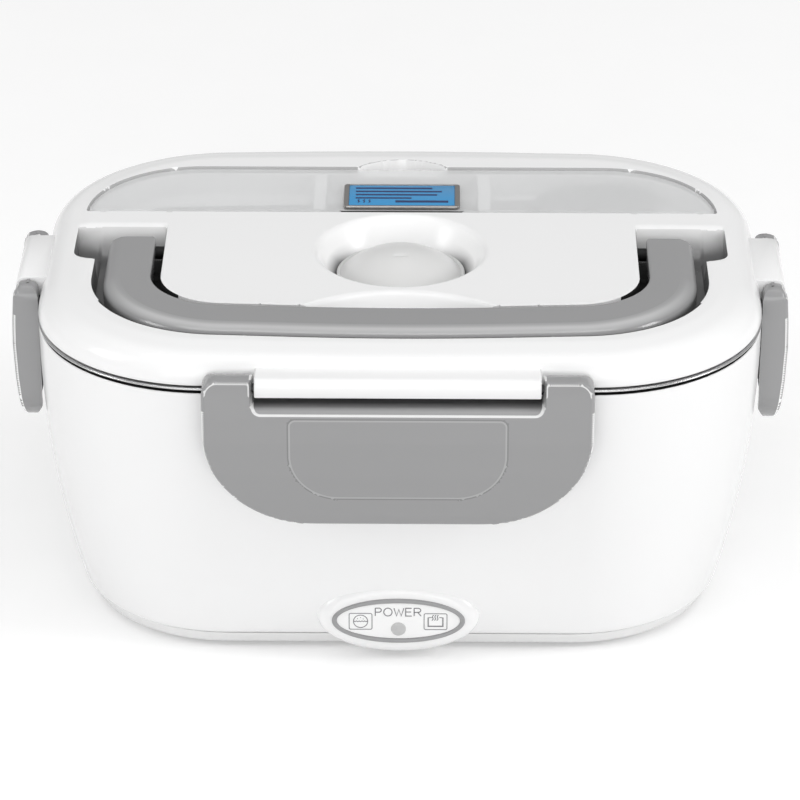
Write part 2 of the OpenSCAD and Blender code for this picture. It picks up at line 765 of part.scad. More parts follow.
module lid_skin() {
    roof_z = lid_top - lid_wall;
    crown_in = lid_fillet_w + 4.5;
    edge_z = lid_z + lid_skirt;
    fill = [0, 0, 0.12, 0.5, 0.9, 1, 0.85];
    function fillet_ring(i) =
        let (a = fillet_angles[i])
        lid_ring(lid_fillet_w * (1 - cos(a)), edge_z + lid_fillet_h * sin(a), bulge * fill[i]);
    function under_ring(a) = lid_ring(lid_wall + (lid_fillet_w - 0.6) * (1 - cos(a)),
                                      edge_z + (lid_fillet_h - lid_wall) * sin(a));
    loft(concat(
        [lid_ring(crown_in, roof_z), lid_ring(lid_fillet_w + 2, roof_z - lid_crown)],
        [for (a = [75 : -15 : 0]) under_ring(a)],
        [lid_ring(lid_wall, lid_z), lid_ring(0.5, lid_z), lid_ring(0, lid_z + 0.4)],
        [for (i = [0 : 6]) fillet_ring(i)],
        [lid_ring(crown_in, lid_top)]
    ));
}

// The compartment's outline, grown by an amount, with its straight edge at front
module tray_outline(grow, front) {
    intersection() {
        union() {
            for (sx = [-1, 1]) {
                translate([sx * tray_x, tray_y - 0.6]) circle(tray_r + grow);
            }
            translate([-tray_x, 0]) square([2 * tray_x, tray_y - 0.6 + tray_r + grow]);
        }
        translate([-rim_w / 2, front]) square([rim_w, rim_d / 2]);
    }
}

// How far the handle's front is moved out at x
function bow(x) = handle_bow * pow(max(1 - pow(x / bow_reach, 2), 0), 2);

// The bail's outline: a U whose legs reach back to y_end
module bail_outline(front, half, r, y_end) {
    corner = [for (i = [0 : 16]) let (a = 90 * i / 16) [half - r + r * cos(a), -front + r - r * sin(a)]];
    flat = [for (i = [1 : 11]) [(half - r) * (1 - i / 6), -front]];
    front_line = concat(corner, flat, [for (i = [16 : -1 : 0]) [-corner[i][0], corner[i][1]]]);
    polygon(concat([[half, y_end]], [for (p = front_line) [p[0], p[1] - bow(p[0])]], [[-half, y_end]]));
}

// The ground that the channel keeps inside the bail
module island_outline(grow) {
    bail_outline(island_front - grow, island_half - grow, island_r - grow, 60);
}

// Channel of the handle and the wider pockets round its pivots
module channel_outline(grow) {
    half = handle_w / 2 + leg_gap + grow;
    difference() {
        union() {
            bail_outline(handle_front + channel_gap + grow, half,
                         handle_r + channel_gap + grow, channel_back + grow);
            for (sx = [-1, 1]) {
                translate([sx * (half - 12 + pivot_pocket_w / 2), pivot_y + 4.5])
                    rounded_rect(24 + pivot_pocket_w, 20 + 2 * grow, 4 + grow);
            }
        }
        island_outline(grow);
    }
}

module finger_scoop(z, height, grow) {
    intersection() {
        translate([0, scoop_y, z]) cylinder(r = scoop_r + grow, h = height, $fn = 96);
        translate([-60, -handle_front - handle_bow + front_band, z - 1]) cube([120, 40, height + 2]);
    }
}

// The notch behind the cover's back edge
module cover_notch(z, height, grow) {
    intersection() {
        translate([0, notch_y, z]) cylinder(r = notch_r + grow, h = height);
        translate([-40, tray_y + tray_r - 6, z - 1]) cube([80, 40, height + 2]);
    }
}

// A lug that carries a latch: along X, at out from the centre
module lug(out, length, high = 3.7) {
    pin_out = out + hinge_out;
    z_pin = lid_z + hinge_up;
    z_top = z_pin + high;
    profile = [[out - 2.6, lid_z + 0.5], [pin_out + 2.2, lid_z + 0.5], [pin_out + 3.4, lid_z + 1.3],
               [pin_out + 3.4, z_top - 2.1],
               [pin_out + 3.0, z_top - 1], [pin_out + 2.1, z_top - 0.3],
               [pin_out + 0.6, z_top], [out - 2.6, z_top]];
    translate([-length / 2, 0, 0]) rotate([90, 0, 90]) linear_extrude(length) polygon(profile);
}

// Pin hole through a lug
module lug_bore(out, length) {
    translate([-length / 2 - 1, out + hinge_out, lid_z + hinge_up]) rotate([0, 90, 0])
        cylinder(d = latch_pin_d + 2 * fit, h = length + 2);
}

module lid_shell() {
    block_z = pocket_z - pocket_floor;
    block_h = lid_top - lid_wall + 0.4 - block_z;
    hinge_y = tray_y + hinge_back;
    hinge_z = lid_top - hinge_drop;
    color(white) difference() {
        union() {
            lid_skin();
            translate([0, 0, block_z]) linear_extrude(block_h) channel_outline(lid_wall);
            translate([0, 0, block_z]) linear_extrude(block_h) tray_outline(lid_wall, tray_y - lid_wall);
            translate([0, -bowl_front, block_z]) cylinder(d = bowl_d + 1, h = block_h);
            finger_scoop(lid_top - scoop_depth - pocket_floor,
                         block_h - pocket_depth + scoop_depth, lid_wall);
            cover_notch(lid_top - notch_depth - pocket_floor, 3, lid_wall);
            // bosses round the handle's pivots and the cover's hinge pins
            for (sx = [-1, 1]) {
                translate([sx * (island_half - 2), pivot_y, pivot_z]) rotate([0, 90, 0])
                    cylinder(d = 6.2, h = 4, center = true);
            }
            lug(rim_d / 2, lug_l, back_ear_h);
            rotate([0, 0, 180]) lug(rim_d / 2, lug_l);
            rotate([0, 0, 90]) lug(rim_w / 2, side_lug_l);
            rotate([0, 0, 270]) lug(rim_w / 2, side_lug_l);
        }
        // channel and scoops
        translate([0, 0, pocket_z]) linear_extrude(pocket_depth + 2) channel_outline(0);
        finger_scoop(lid_top - scoop_depth, 8, 0);
        cover_notch(lid_top - notch_depth, 6, 0);
        // compartment, with a ledge under its cover
        translate([0, 0, pocket_z]) linear_extrude(pocket_depth + 2) difference() {
            tray_outline(-tray_ledge, tray_y);
            for (sx = [-1, 1]) {
                translate([sx * rest_x - rest_t / 2, tray_y + 6]) square([rest_t, 40]);
            }
        }
        translate([0, 0, cover_z]) linear_extrude(6) tray_outline(0, tray_y);
        // no ledge in front of the cover's hinge, so that its front edge can swing down
        translate([0, 0, pocket_z]) linear_extrude(pocket_depth) intersection() {
            tray_outline(0, tray_y);
            translate([-rim_w / 2, 0]) square([rim_w, hinge_y + 2.4]);
        }
        // notches of the two spoon rests
        spoon_space();
        // bowl and vent
        translate([0, -bowl_front, pocket_z])
            cylinder(d1 = bowl_floor_d, d2 = bowl_d, h = pocket_depth + eps);
        translate([0, -bowl_front, block_z - 1]) cylinder(d = vent_d, h = 6);
        // slots beside the handle's legs
        for (sx = [-1, 1]) {
            translate([sx * (island_half + 2) - 1.9, -24, block_z - 1])
                cube([3.8, 19, 4]);
        }
        // bores of the handle's pivots, the cover's hinge and the latches
        for (sx = [-1, 1]) {
            translate([sx * (handle_w / 2 - handle_band - 3), pivot_y, pivot_z]) rotate([0, 90, 0])
                cylinder(d = pivot_d + 2 * fit, h = 9, center = true);
        }
        translate([0, hinge_y, hinge_z]) rotate([0, 90, 0])
            cylinder(d = hinge_pin_d + 2 * fit, h = 2 * hinge_reach + 0.4, center = true);
        lug_bore(rim_d / 2, lug_l);
        rotate([0, 0, 180]) lug_bore(rim_d / 2, lug_l);
        rotate([0, 0, 90]) lug_bore(rim_w / 2, side_lug_l);
        rotate([0, 0, 270]) lug_bore(rim_w / 2, side_lug_l);
    }
}

// Room for the spoon's handle through the two rests
module spoon_space() {
    intersection() {
        spoon_place() translate([-spoon_l / 2, -spoon_handle_w / 2 - 1, 1.8])
            cube([spoon_l, spoon_handle_w + 2, 20]);
        translate([-rest_x - 3, 0, 0]) cube([2 * rest_x + 6, rim_d, lid_top + 20]);
    }
}

// Where the spoon lies in the compartment
module spoon_place() {
    translate([0, tray_y + 13.5, pocket_z + 0.3]) rotate([0, 0, spoon_turn]) children();
}

module lid_inner_panel() {
    mouth = flange_w + 1.6;
    rise_z = flange_z + curl_h / 2 + steel_t / 2 + seal_h;
    color([0.94, 0.94, 0.94]) difference() {
        loft([
            rim_ring(mouth + 2, panel_z), rim_ring(mouth + 0.4, panel_z + 0.6), rim_ring(mouth, rise_z),
            rim_ring(lid_wall + 1.2, rise_z), rim_ring(lid_wall + 1.2, rise_z + 1.4),
            rim_ring(mouth + 1.6, rise_z + 1.4), rim_ring(mouth + 1.6, panel_z + panel_t)
        ]);
        translate([0, -bowl_front, panel_z - 1]) cylinder(d = vent_d, h = panel_t + 2);
        // clear of the compartment and of the pockets round the handle's pivots
        translate([0, 0, pocket_z - pocket_floor - 0.1]) linear_extrude(5) {
            tray_outline(lid_wall + 0.2, tray_y - lid_wall - 0.2);
            intersection() {
                channel_outline(lid_wall + 0.2);
                translate([-rim_w / 2, pivot_y - 20]) square([rim_w, 45]);
            }
        }
    }
}

module lid_seal() {
    z = flange_z + curl_h / 2 + steel_t / 2 + 0.1;
    top = z + seal_h - 0.1;
    inner = flange_w - 0.2;
    outer = inner - seal_w;
    color(silicone) loft([
        rim_ring(outer + 0.8, z), rim_ring(outer, z + 0.4), rim_ring(outer, top),
        rim_ring(inner, top), rim_ring(inner, z + 0.4), rim_ring(inner - 0.8, z)
    ], joined = true);
}

// ---------- Steam valve ----------

module steam_valve() {
    r = valve_d / 2;
    stem = vent_d / 2 - 0.8;
    z = pocket_z + 0.3;
    under = panel_z - valve_travel - 0.8;
    color(silicone) translate([0, -bowl_front, 0]) rotate_extrude($fn = 96) polygon([
        [0, under - 2.4], [stem - 1.6, under - 2.4], [stem, under - 1.0], [stem, under],
        [stem - 0.7, under + 0.6], [stem - 0.7, z], [r - 0.6, z], [r, z + 0.5], [r, z + 1.1],
        [r - 0.8, z + 1.5], [r - 2.4, z + 1.6], [r * 0.72, z + 0.6 * valve_h],
        [r * 0.5, z + 0.86 * valve_h], [r * 0.25, z + 0.98 * valve_h], [2.6, z + valve_h],
        [1.8, z + valve_h - 0.5], [0, z + valve_h - 0.5]
    ]);
}

// ---------- Handle ----------

module handle() {
    half_leg = handle_band / 2;
    half_front = front_band / 2;
    mid_half = handle_w / 2 - half_leg;
    mid_front = handle_front - half_front;
    mid_r = handle_r - half_leg;
    z = pivot_z;
    // centre line: along the right leg, round the bar and back along the left leg
    turn = [for (i = [0 : 12]) i * 90 / 12];
    flat = [for (i = [1 : 9]) (mid_half - mid_r) * (1 - i / 5)];
    stations = concat(
        [[mid_half, pivot_y, -90, half_leg]],
        [for (a = turn) [mid_half - mid_r + mid_r * cos(a), -mid_front + mid_r - mid_r * sin(a), a - 90,
                         half_leg + (half_front - half_leg) * a / 90]],
        [for (x = flat) [x, -mid_front, 0, half_front]],
        [for (a = turn) [-mid_half + mid_r - mid_r * sin(a), -mid_front + mid_r - mid_r * cos(a), a,
                         half_front + (half_leg - half_front) * a / 90]],
        [[-mid_half, pivot_y, 90, half_leg]]
    );
    // band section of half width u: u to the outside of the bail, v up
    v = handle_t / 2;
    function section(u) = [
        for (c = [[1, 1, 0, 3.2], [-1, 1, 90, 1.8], [-1, -1, 180, 1.2], [1, -1, 270, 1.8]])
            for (a = [0, 30, 60, 90])
                [c[0] * (u - c[3]) + c[3] * cos(c[2] + a), c[1] * (v - c[3]) + c[3] * sin(c[2] + a)]];
    color(grey) union() {
        loft([for (s = stations) [for (p = section(s[3]))
            let (x = s[0] - p[0] * sin(s[2])) [x, s[1] - p[0] * cos(s[2]) - bow(x), z + p[1]]]]);
        for (sx = [-1, 1]) {
            translate([sx * mid_half, pivot_y, z]) leg_end(v);
            translate([sx * (handle_w / 2 - handle_band - channel_inner_gap / 2 - 0.4), pivot_y, z])
                rotate([0, 90, 0]) cylinder(d = pivot_d, h = channel_inner_gap + 4, center = true);
        }
    }
}

// A leg's end about its pivot: square above, and round below so that it clears the pocket's floor
module leg_end(v) {
    reach = 4.3;
    side = concat(
        [[-0.1, -v], [0, -v]],
        [for (a = [-75 : 15 : -15]) [reach * cos(a), v * sin(a)]],
        [[reach, v - 1.5], [reach - 0.45, v - 0.45], [reach - 1.5, v], [-0.1, v]]
    );
    intersection() {
        rotate([90, 0, 90]) translate([0, 0, -handle_band / 2 + 0.1])
            linear_extrude(handle_band - 0.2) polygon(side);
        translate([0, 0, -v - 1]) linear_extrude(2 * v + 2)
            rounded_rect(handle_band - 0.2, 2 * reach + 0.01, 2);
    }
}

// ---------- Spoon compartment ----------

module spoon_cover() {
    z = cover_z + 0.1;
    hinge_y = tray_y + hinge_back;
    hinge_z = lid_top - hinge_drop;
    slot = info_w / 2 + 0.6;
    color([0.88, 0.9, 0.9, 0.6]) union() {
        difference() {
            translate([0, 0, z]) linear_extrude(cover_t) tray_outline(-cover_gap, tray_y + cover_gap);
            // bevel that lets the front edge swing past the lid
            translate([-rim_w / 2, 0, 0]) rotate([90, 0, 90]) linear_extrude(rim_w)
                polygon([[tray_y - 1, z], [tray_y + cover_gap, z],
                         [tray_y + cover_gap + 0.65, z + cover_t + eps], [tray_y - 1, z + cover_t + eps]]);
            // slot in front of the information plate
            translate([-slot, tray_y - 1, z - 1]) cube([2 * slot, info_y - tray_y + 0.6, 5]);
        }
        // hinge knuckles and pins under the ends
        for (sx = [-1, 1]) {
            translate([sx * (tray_x + tray_r - 4.2), hinge_y, hinge_z]) rotate([0, 90, 0])
                cylinder(d = 3.6, h = 4.4, center = true);
            translate([sx * (hinge_reach - 2.3), hinge_y, hinge_z]) rotate([0, 90, 0])
                cylinder(d = hinge_pin_d, h = 4.6, center = true);
        }
    }
}

module info_plate() {
    color([0.55, 0.55, 0.54]) difference() {
        translate([0, info_y + info_d / 2, info_z]) linear_extrude(info_t) rounded_rect(info_w, info_d, 1);
        translate([0, info_y + info_d / 2, info_z + 0.6]) linear_extrude(info_t)
            rounded_rect(info_w - 3.2, info_d - 1.4, 0.4);
    }
}

module info_insert() {
    color([0.3, 0.6, 0.83]) translate([0, info_y + info_d / 2, info_z + 0.6]) linear_extrude(info_t - 0.8)
        rounded_rect(info_w - 3.3, info_d - 1.5, 0.4);
}

// A spoon lying in the compartment, its bowl to the right
module spoon() {
    bowl_x = spoon_l / 2 - spoon_bowl_l / 2;
    r = 60;
    depth = 3.2;
    color(steel) spoon_place() {
        intersection() {
            translate([bowl_x, 0, 0]) linear_extrude(depth + spoon_t)
                polygon(oval(spoon_bowl_l, spoon_bowl_w));
            translate([bowl_x, 0, r]) difference() {
                sphere(r, $fn = 96);
                sphere(r - spoon_t, $fn = 96);
            }
        }
        translate([-spoon_l / 2, 0, depth - 0.4]) linear_extrude(spoon_t) {
            translate([spoon_handle_w / 2, 0]) circle(d = spoon_handle_w);
            polygon([[spoon_handle_w / 2, spoon_handle_w / 2], [spoon_l * 0.66, spoon_handle_w * 0.3],
                     [spoon_l - spoon_bowl_l + 2, spoon_handle_w * 0.5],
                     [spoon_l - spoon_bowl_l + 2, -spoon_handle_w * 0.5],
                     [spoon_l * 0.66, -spoon_handle_w * 0.3], [spoon_handle_w / 2, -spoon_handle_w / 2]]);
        }
    }
}

// ---------- Latches ----------

// A latch's side profile round its hinge pin: y outwards, z up
function latch_side(inset) = [
    [ear_r - inset, 0], [ear_r + 0.5 - inset, -8], [ear_r + 0.7 - inset, -16],
    [ear_r + 0.2 - inset, -27], [ear_r - 0.8 - inset, -35], [ear_r - 1.7 - inset, -40]];

// A latch's front outline: x along the hinge, z up
module latch_front_outline(w, corner, inset) {
    half = w / 2 - inset;
    bottom = -latch_drop + inset;
    ear_round = min(5.5, ear_r + 1.6);
    ear_z = ear_r + 0.2 - ear_round;
    ratio = 0.92;
    corner_in = corner - inset;
    polygon(concat(
        [for (a = [0 : 7.5 : 90]) [half - corner_in + corner_in * cos(a),
                                   bottom + corner_in * ratio * (1 - sin(a))]],
        [for (a = [90 : 7.5 : 180]) [-half + corner_in + corner_in * cos(a),
                                     bottom + corner_in * ratio * (1 - sin(a))]],
        [for (a = [180 : -15 : 90]) [-half + ear_round + ear_round * cos(a),
                                     ear_z + ear_round * sin(a)]],
        [for (a = [90 : -15 : 0]) [half - ear_round + ear_round * cos(a), ear_z + ear_round * sin(a)]]
    ));
}

// A latch about its own hinge pin, which lies along X: outwards is +Y
module latch(w, ear, corner, hook_w, panel_w, ear_h = ear_r) {
    notch = w / 2 - ear;
    skirt_y = -ear_r + 0.2;
    bottom = -latch_drop;
    tip_y = -hinge_out - hook_wall_lean + ridge_out - hook_catch;
    color(grey) difference() {
        union() {
            difference() {
                intersection() {
                    translate([0, 10, 0]) rotate([90, 0, 0]) linear_extrude(20)
                        latch_front_outline(w, corner, 0);
                    rotate([90, 0, 90]) translate([0, 0, -w / 2]) linear_extrude(w) union() {
                        circle(ear_r);
                        // the ears' square upper front edge
                        polygon([[0, -1], [ear_r, -1], [ear_r, ear_r - 1.2],
                                 [ear_r - 0.4, ear_r - 0.4], [ear_r - 1.2, ear_r], [0, ear_r]]);
                        polygon(concat([[skirt_y, 0]], latch_side(0),
                            [[1.0, bottom + 0.4], [-0.4, bottom], [-1.6, bottom],
                             [-3.0, bottom + 2], [skirt_y, bottom + 6]]));
                    }
                }
                // hollow behind the front wall, open to the box
                intersection() {
                    translate([0, 10, 0]) rotate([90, 0, 0]) linear_extrude(20) difference() {
                        latch_front_outline(w, corner, latch_wall);
                        translate([-w, -7.4]) square([2 * w, 20]);
                    }
                    rotate([90, 0, 90]) translate([0, 0, -w / 2]) linear_extrude(w)
                        polygon(concat([[-12, 0]], latch_side(latch_wall),
                                       [[-0.4, bottom], [-12, bottom]]));
                }
                // room for the lid's lug between the ears, down to a sloping lip
                rotate([90, 0, 90]) translate([0, 0, -notch]) linear_extrude(2 * notch)
                    polygon([[-8, 8], [-8, -5.4], [1.4, -5.4], [ear_r + 0.4, -8.2], [10, -8.2], [10, 8]]);
            }
            // hook
            rotate([90, 0, 90]) translate([0, 0, -hook_w / 2]) linear_extrude(hook_w)
                polygon([[ear_r - 0.6, -hook_drop], [tip_y, -hook_drop], [tip_y, -hook_drop - 1.4],
                         [ear_r - 2, -hook_drop - 5.5], [ear_r - 0.8, -hook_drop - 5.5]]);
        }
        // recessed outline of the grip panel
        intersection() {
            translate([0, 10, 0]) rotate([90, 0, 0]) linear_extrude(20)
                grip_outline(panel_w, corner);
            rotate([90, 0, 90]) translate([0, 0, -w / 2]) linear_extrude(w)
                polygon(concat(latch_side(0.35), [[20, -40], [20, 0]]));
        }
        // slope that makes the ears lower than their round
        if (ear_h < ear_r) {
            rotate([-27, 0, 0]) translate([-w, -10, ear_h - 0.3]) cube([2 * w, 20, 10]);
        }
        // bore of the hinge pin
        rotate([0, 90, 0]) cylinder(d = latch_pin_d + 2 * press, h = w - 5, center = true);
    }
}

module grip_outline(w, corner) {
    top = -hinge_up - 6;
    bottom = 9.3 - latch_drop;
    half = w / 2;
    round_w = corner * 0.42;
    round_h = corner * 0.5;
    polygon(concat(
        [[-half + 1, top], [half - 1, top], [half, top - 1]],
        [for (a = [0 : 15 : 90]) [half - round_w + round_w * cos(a),
                                  bottom + round_h * (1 - sin(a))]],
        [for (a = [90 : 15 : 180]) [-half + round_w + round_w * cos(a),
                                    bottom + round_h * (1 - sin(a))]],
        [[-half, top - 1]]
    ));
}

// Puts a child that lies about its own hinge pin on one side of the box
module on_side(turn) {
    out = (turn % 180 == 0 ? rim_d : rim_w) / 2 + hinge_out;
    rotate([0, 0, turn]) translate([0, out, lid_z + hinge_up]) children();
}

module wide_latch(ear_h = ear_r) {
    latch(latch_w, ear_w, latch_corner, latch_w * 0.42, latch_w - 2 * wide_grip_margin, ear_h);
}

module side_latch() {
    latch(side_latch_w, side_ear_w, side_latch_corner, side_latch_w * 0.45,
          side_latch_w - 2 * side_grip_margin);
}

module hinge_pin(w) {
    color(steel) rotate([0, 90, 0]) cylinder(d = latch_pin_d, h = w - 5.4, center = true);
}

base_shell();
base_liner();
bottom_cover();
bottom_screws();
rubber_foot(-1, -1);  // foot_front_left
rubber_foot(1, -1);  // foot_front_right
rubber_foot(-1, 1);  // foot_back_left
rubber_foot(1, 1);  // foot_back_right
heating_plate();
plate_seal();
heater_element();
heater_strap();
strap_screws();
thermostat();
thermal_fuse();
inlet_housing();
inlet_pins();
indicator_board();
indicator_lamp();
indicator_lens();
indicator_ring();
indicator_face();
steel_container();
lid_shell();
lid_inner_panel();
lid_seal();
steam_valve();
handle();
spoon_cover();
info_plate();
info_insert();
spoon();
on_side(180) wide_latch();  // latch_front
on_side(0) wide_latch(back_ear_h);  // latch_back
on_side(90) side_latch();  // latch_left
on_side(270) side_latch();  // latch_right
on_side(180) hinge_pin(latch_w);  // latch_pin_front
on_side(0) hinge_pin(latch_w);  // latch_pin_back
on_side(90) hinge_pin(side_latch_w);  // latch_pin_left
on_side(270) hinge_pin(side_latch_w);  // latch_pin_right
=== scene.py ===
# %% [markdown]
# # An electric lunch box, dressed in Blender
# The imported model is the skeleton: every CAD solid arrives in metres, in one frame. This lesson gives it
# a skin. Outer mouldings whose soft edges matter are built again as dense meshes, small hidden parts keep
# their CAD shape, and every surface gets a finish made of shader nodes.

# %% Load the frame
import math

import bmesh
import bpy
import mathutils
import numpy as np
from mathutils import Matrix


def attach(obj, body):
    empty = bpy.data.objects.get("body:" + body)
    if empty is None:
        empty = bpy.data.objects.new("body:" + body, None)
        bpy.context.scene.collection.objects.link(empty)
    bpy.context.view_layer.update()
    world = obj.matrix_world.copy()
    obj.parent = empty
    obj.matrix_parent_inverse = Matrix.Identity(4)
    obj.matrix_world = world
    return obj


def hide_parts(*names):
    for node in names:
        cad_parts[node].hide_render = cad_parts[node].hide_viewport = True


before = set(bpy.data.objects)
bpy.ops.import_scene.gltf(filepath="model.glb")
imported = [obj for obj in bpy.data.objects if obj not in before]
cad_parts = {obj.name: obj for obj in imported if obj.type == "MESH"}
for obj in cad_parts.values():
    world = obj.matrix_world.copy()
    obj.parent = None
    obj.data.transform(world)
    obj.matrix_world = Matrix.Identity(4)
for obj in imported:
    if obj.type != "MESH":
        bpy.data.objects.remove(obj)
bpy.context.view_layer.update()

# %% [markdown]
# ## Sizes that several pieces share
# The solids were drawn in millimetres, so the numbers here are millimetres too, and only the last step of
# making a mesh turns them into metres. Heights and outlines are those of the solids, and SEAM is the one
# small liberty.

# %% Shared sizes
MM = 0.001
RIM_W, RIM_D, RIM_R = 218.0, 155.0, 52.0          # outline of the rim
BASE_Z, BASE_H = 6.0, 87.8                        # lower edge and height of the base housing
BASE_TOP = BASE_Z + BASE_H
DRAFT_SIDE, DRAFT_FRONT, CORNER_DROP = 11.2, 14.0, 7.0
LID_Z, LID_TOP = 96.2, 107.0
POCKET_Z = 98.6                                   # floor of the lid's pockets
HINGE_UP, HINGE_OUT = 3.0, 4.4                    # latch pins, over the lid's edge and out from the rim
HOOK_TOP, HOOK_LIP, HOOK_LOW = -22.7, -24.1, -28.2  # heights of a latch's hook, from its pin
EAR_R, BACK_LUG, BACK_EAR = 3.9, 2.5, 2.2         # ears' radius; heights of lug and ears at the back
SEAM = 1.0                                        # edges along the seams are drawn this much higher
BOWL_FRONT, BOWL_R = 3.4, 25.5                    # the vent's bowl: how far to the front, and its radius
RING_Z, BOSS_Y = 14.5, 69.5                       # the power indicator's centre, and the face it sits on
print("lid from", LID_Z, "to", LID_TOP, "mm")

# %% [markdown]
# ## Meshes out of arrays
# A moulded shape is easiest to describe as points in numpy and faces as index lists. A shape here is just
# that pair, so shapes can be turned, moved and joined before one Blender object is made. Normals are made
# to face outwards at the end, because every shape is a closed skin.

# %% Shapes and pieces
def joined(*shapes):
    points, faces, start = [], [], 0
    for shape_points, shape_faces in shapes:
        points.append(np.asarray(shape_points, float))
        faces += [[i + start for i in face] for face in shape_faces]
        start += len(shape_points)
    return np.vstack(points), faces


def turned(shape, degrees, offset=(0, 0, 0)):
    c, s = math.cos(math.radians(degrees)), math.sin(math.radians(degrees))
    x, y, z = np.asarray(shape[0], float).T
    return np.column_stack([x * c - y * s, x * s + y * c, z]) + np.array(offset, float), shape[1]


def two_sided(points, behind, faces, loop):
    """A closed skin: a sheet's points in front, as many behind, and a wall round the sheet's loop."""
    n = len(points)
    walls = [[a, b, b + n, a + n] for a, b in zip(loop, loop[1:] + loop[:1])]
    return np.vstack([points, behind]), faces + [[a + n, c + n, b + n] for a, b, c in faces] + walls


def piece(name, shape, body, finish, replaces=(), crease=40):
    """A Blender object from a shape in millimetres, riding on a body."""
    mesh = bpy.data.meshes.new(name)
    mesh.from_pydata((np.asarray(shape[0], float) * MM).tolist(), [], [list(map(int, f)) for f in shape[1]])
    work = bmesh.new()
    work.from_mesh(mesh)
    bmesh.ops.remove_doubles(work, verts=work.verts, dist=1e-7)
    bmesh.ops.recalc_face_normals(work, faces=work.faces)
    work.to_mesh(mesh)
    work.free()
    mesh.polygons.foreach_set("use_smooth", [True] * len(mesh.polygons))
    mesh.set_sharp_from_angle(angle=math.radians(crease))
    mesh.materials.append(finish)
    made = bpy.data.objects.new(name, mesh)
    bpy.context.scene.collection.objects.link(made)
    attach(made, body)
    if replaces:
        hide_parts(*replaces)
    print(f"{name}: {len(mesh.vertices)} points, {len(mesh.polygons)} faces")
    return made


def repaint(made, finish, chosen):
    """Gives a second finish to the faces whose centres, in millimetres, are chosen."""
    faces = made.data.polygons
    centres, index = np.zeros(len(faces) * 3), np.zeros(len(faces), np.int32)
    faces.foreach_get("center", centres)
    faces.foreach_get("material_index", index)
    picked = chosen(*(centres.reshape(-1, 3).T / MM))
    made.data.materials.append(finish)
    index[picked] = len(made.data.materials) - 1
    faces.foreach_set("material_index", index)
    print(f"{made.name}: {int(picked.sum())} faces of {finish.name}")


# %% [markdown]
# ## Skins over rings
# A tub, a housing or a bar is a row of rings with the same number of points, skinned with quads. The
# rings here are rounded rectangles or ovals, and a swept bar uses its own section as the ring. The row
# either ends in two caps or closes on itself, like the skin of a tub that has an inside and an outside.

# %% Rings, lofts, lathes and prisms
def ring(half_w, half_d, r, z, steps=20):
    step = np.arange(4 * (steps + 1))
    quarter = step // (steps + 1)
    corner = np.radians(step % (steps + 1) * 90 / steps + quarter * 90)
    sx = np.where((quarter == 0) | (quarter == 3), 1, -1)
    sy = np.where(quarter < 2, 1, -1)
    return np.column_stack([sx * (half_w - r) + r * np.cos(corner), sy * (half_d - r) + r * np.sin(corner),
                            np.full(len(corner), z)])


def oval(half_w, half_h, z, steps):
    turn = np.radians(np.arange(steps) * 360 / steps)
    return np.column_stack([half_w * np.cos(turn), half_h * np.sin(turn), np.full(steps, z)])


def loft(rings, ends="caps"):
    rings = [np.asarray(r, float) for r in rings]
    n, m = len(rings[0]), len(rings)
    faces = []
    for i in range(m if ends == "joined" else m - 1):
        a, b = i * n, (i + 1) % m * n
        faces += [[a + j, a + (j + 1) % n, b + (j + 1) % n, b + j] for j in range(n)]
    if ends == "caps":
        faces += [list(range(n))[::-1], list(range((m - 1) * n, m * n))]
    return np.vstack(rings), faces


def lathe(profile, steps):
    """Turns (radius, height) pairs about the Z axis."""
    return loft([oval(r, r, z, steps) for r, z in profile])


def stud(r, half, steps, x, y, z):
    """A short pin along X, with its middle at x, y, z."""
    points, faces = lathe([(0.01, -half), (r, -half), (r, half), (0.01, half)], steps)
    return points[:, [2, 0, 1]] + [x, y, z], faces


def prism(outline, length):
    """An outline in Y and Z, drawn out along X about the middle."""
    outline = np.asarray(outline, float)
    return loft([np.column_stack([np.full(len(outline), x), outline]) for x in (-length / 2, length / 2)])


def arc(cx, cy, r, start, stop, steps):
    a = np.radians(np.linspace(start, stop, steps + 1))
    return [[cx + r * math.cos(t), cy + r * math.sin(t)] for t in a]


print("a rounded ring has", len(ring(10, 10, 2, 0)), "points")

# %% [markdown]
# ## Reliefs: one sheet of fine grid per moulded face
# A lid with channels, scoops and bowls is a height over a plan. A plain grid would cut its edges into
# steps, so each grid point that lies near an edge is slid onto it, along the slope of that edge's
# distance field. Every edge line then runs through grid points. Booleans and bevels could do it too, but
# soft edges that melt into each other are what a distance field does best.

# %% Distance fields
def box_field(x, y, cx, cy, half_w, half_d, r_front, r_back=None):
    """Distance from a rounded rectangle, negative inside; its front corners may have their own radius."""
    r = np.where(y > cy, r_front if r_back is None else r_back, r_front)
    qx, qy = np.abs(x - cx) - (half_w - r), np.abs(y - cy) - (half_d - r)
    return np.hypot(np.maximum(qx, 0), np.maximum(qy, 0)) + np.minimum(np.maximum(qx, qy), 0) - r


def both(a, b, k=1.0):
    """The overlap of two fields, its corners rounded by k."""
    return np.maximum(a, b) + np.maximum(k - np.abs(a - b), 0) ** 2 / (4 * k)


def smooth(t):
    t = np.clip(t, 0, 1)
    return t * t * (3 - 2 * t)


def rim_field(x, y):
    return box_field(x, y, 0, 0, RIM_W / 2, RIM_D / 2, RIM_R)


print("the rim's field at its middle:", round(float(rim_field(0, 0)), 1), "mm")

# %% [markdown]
# ## The grid that follows its edges
# First the grid points slide onto the edges, then triangles are put over the points that lie inside the
# outline. Each cell is cut along the diagonal whose ends differ less in height, which keeps the foot and
# the top of a wall straight.

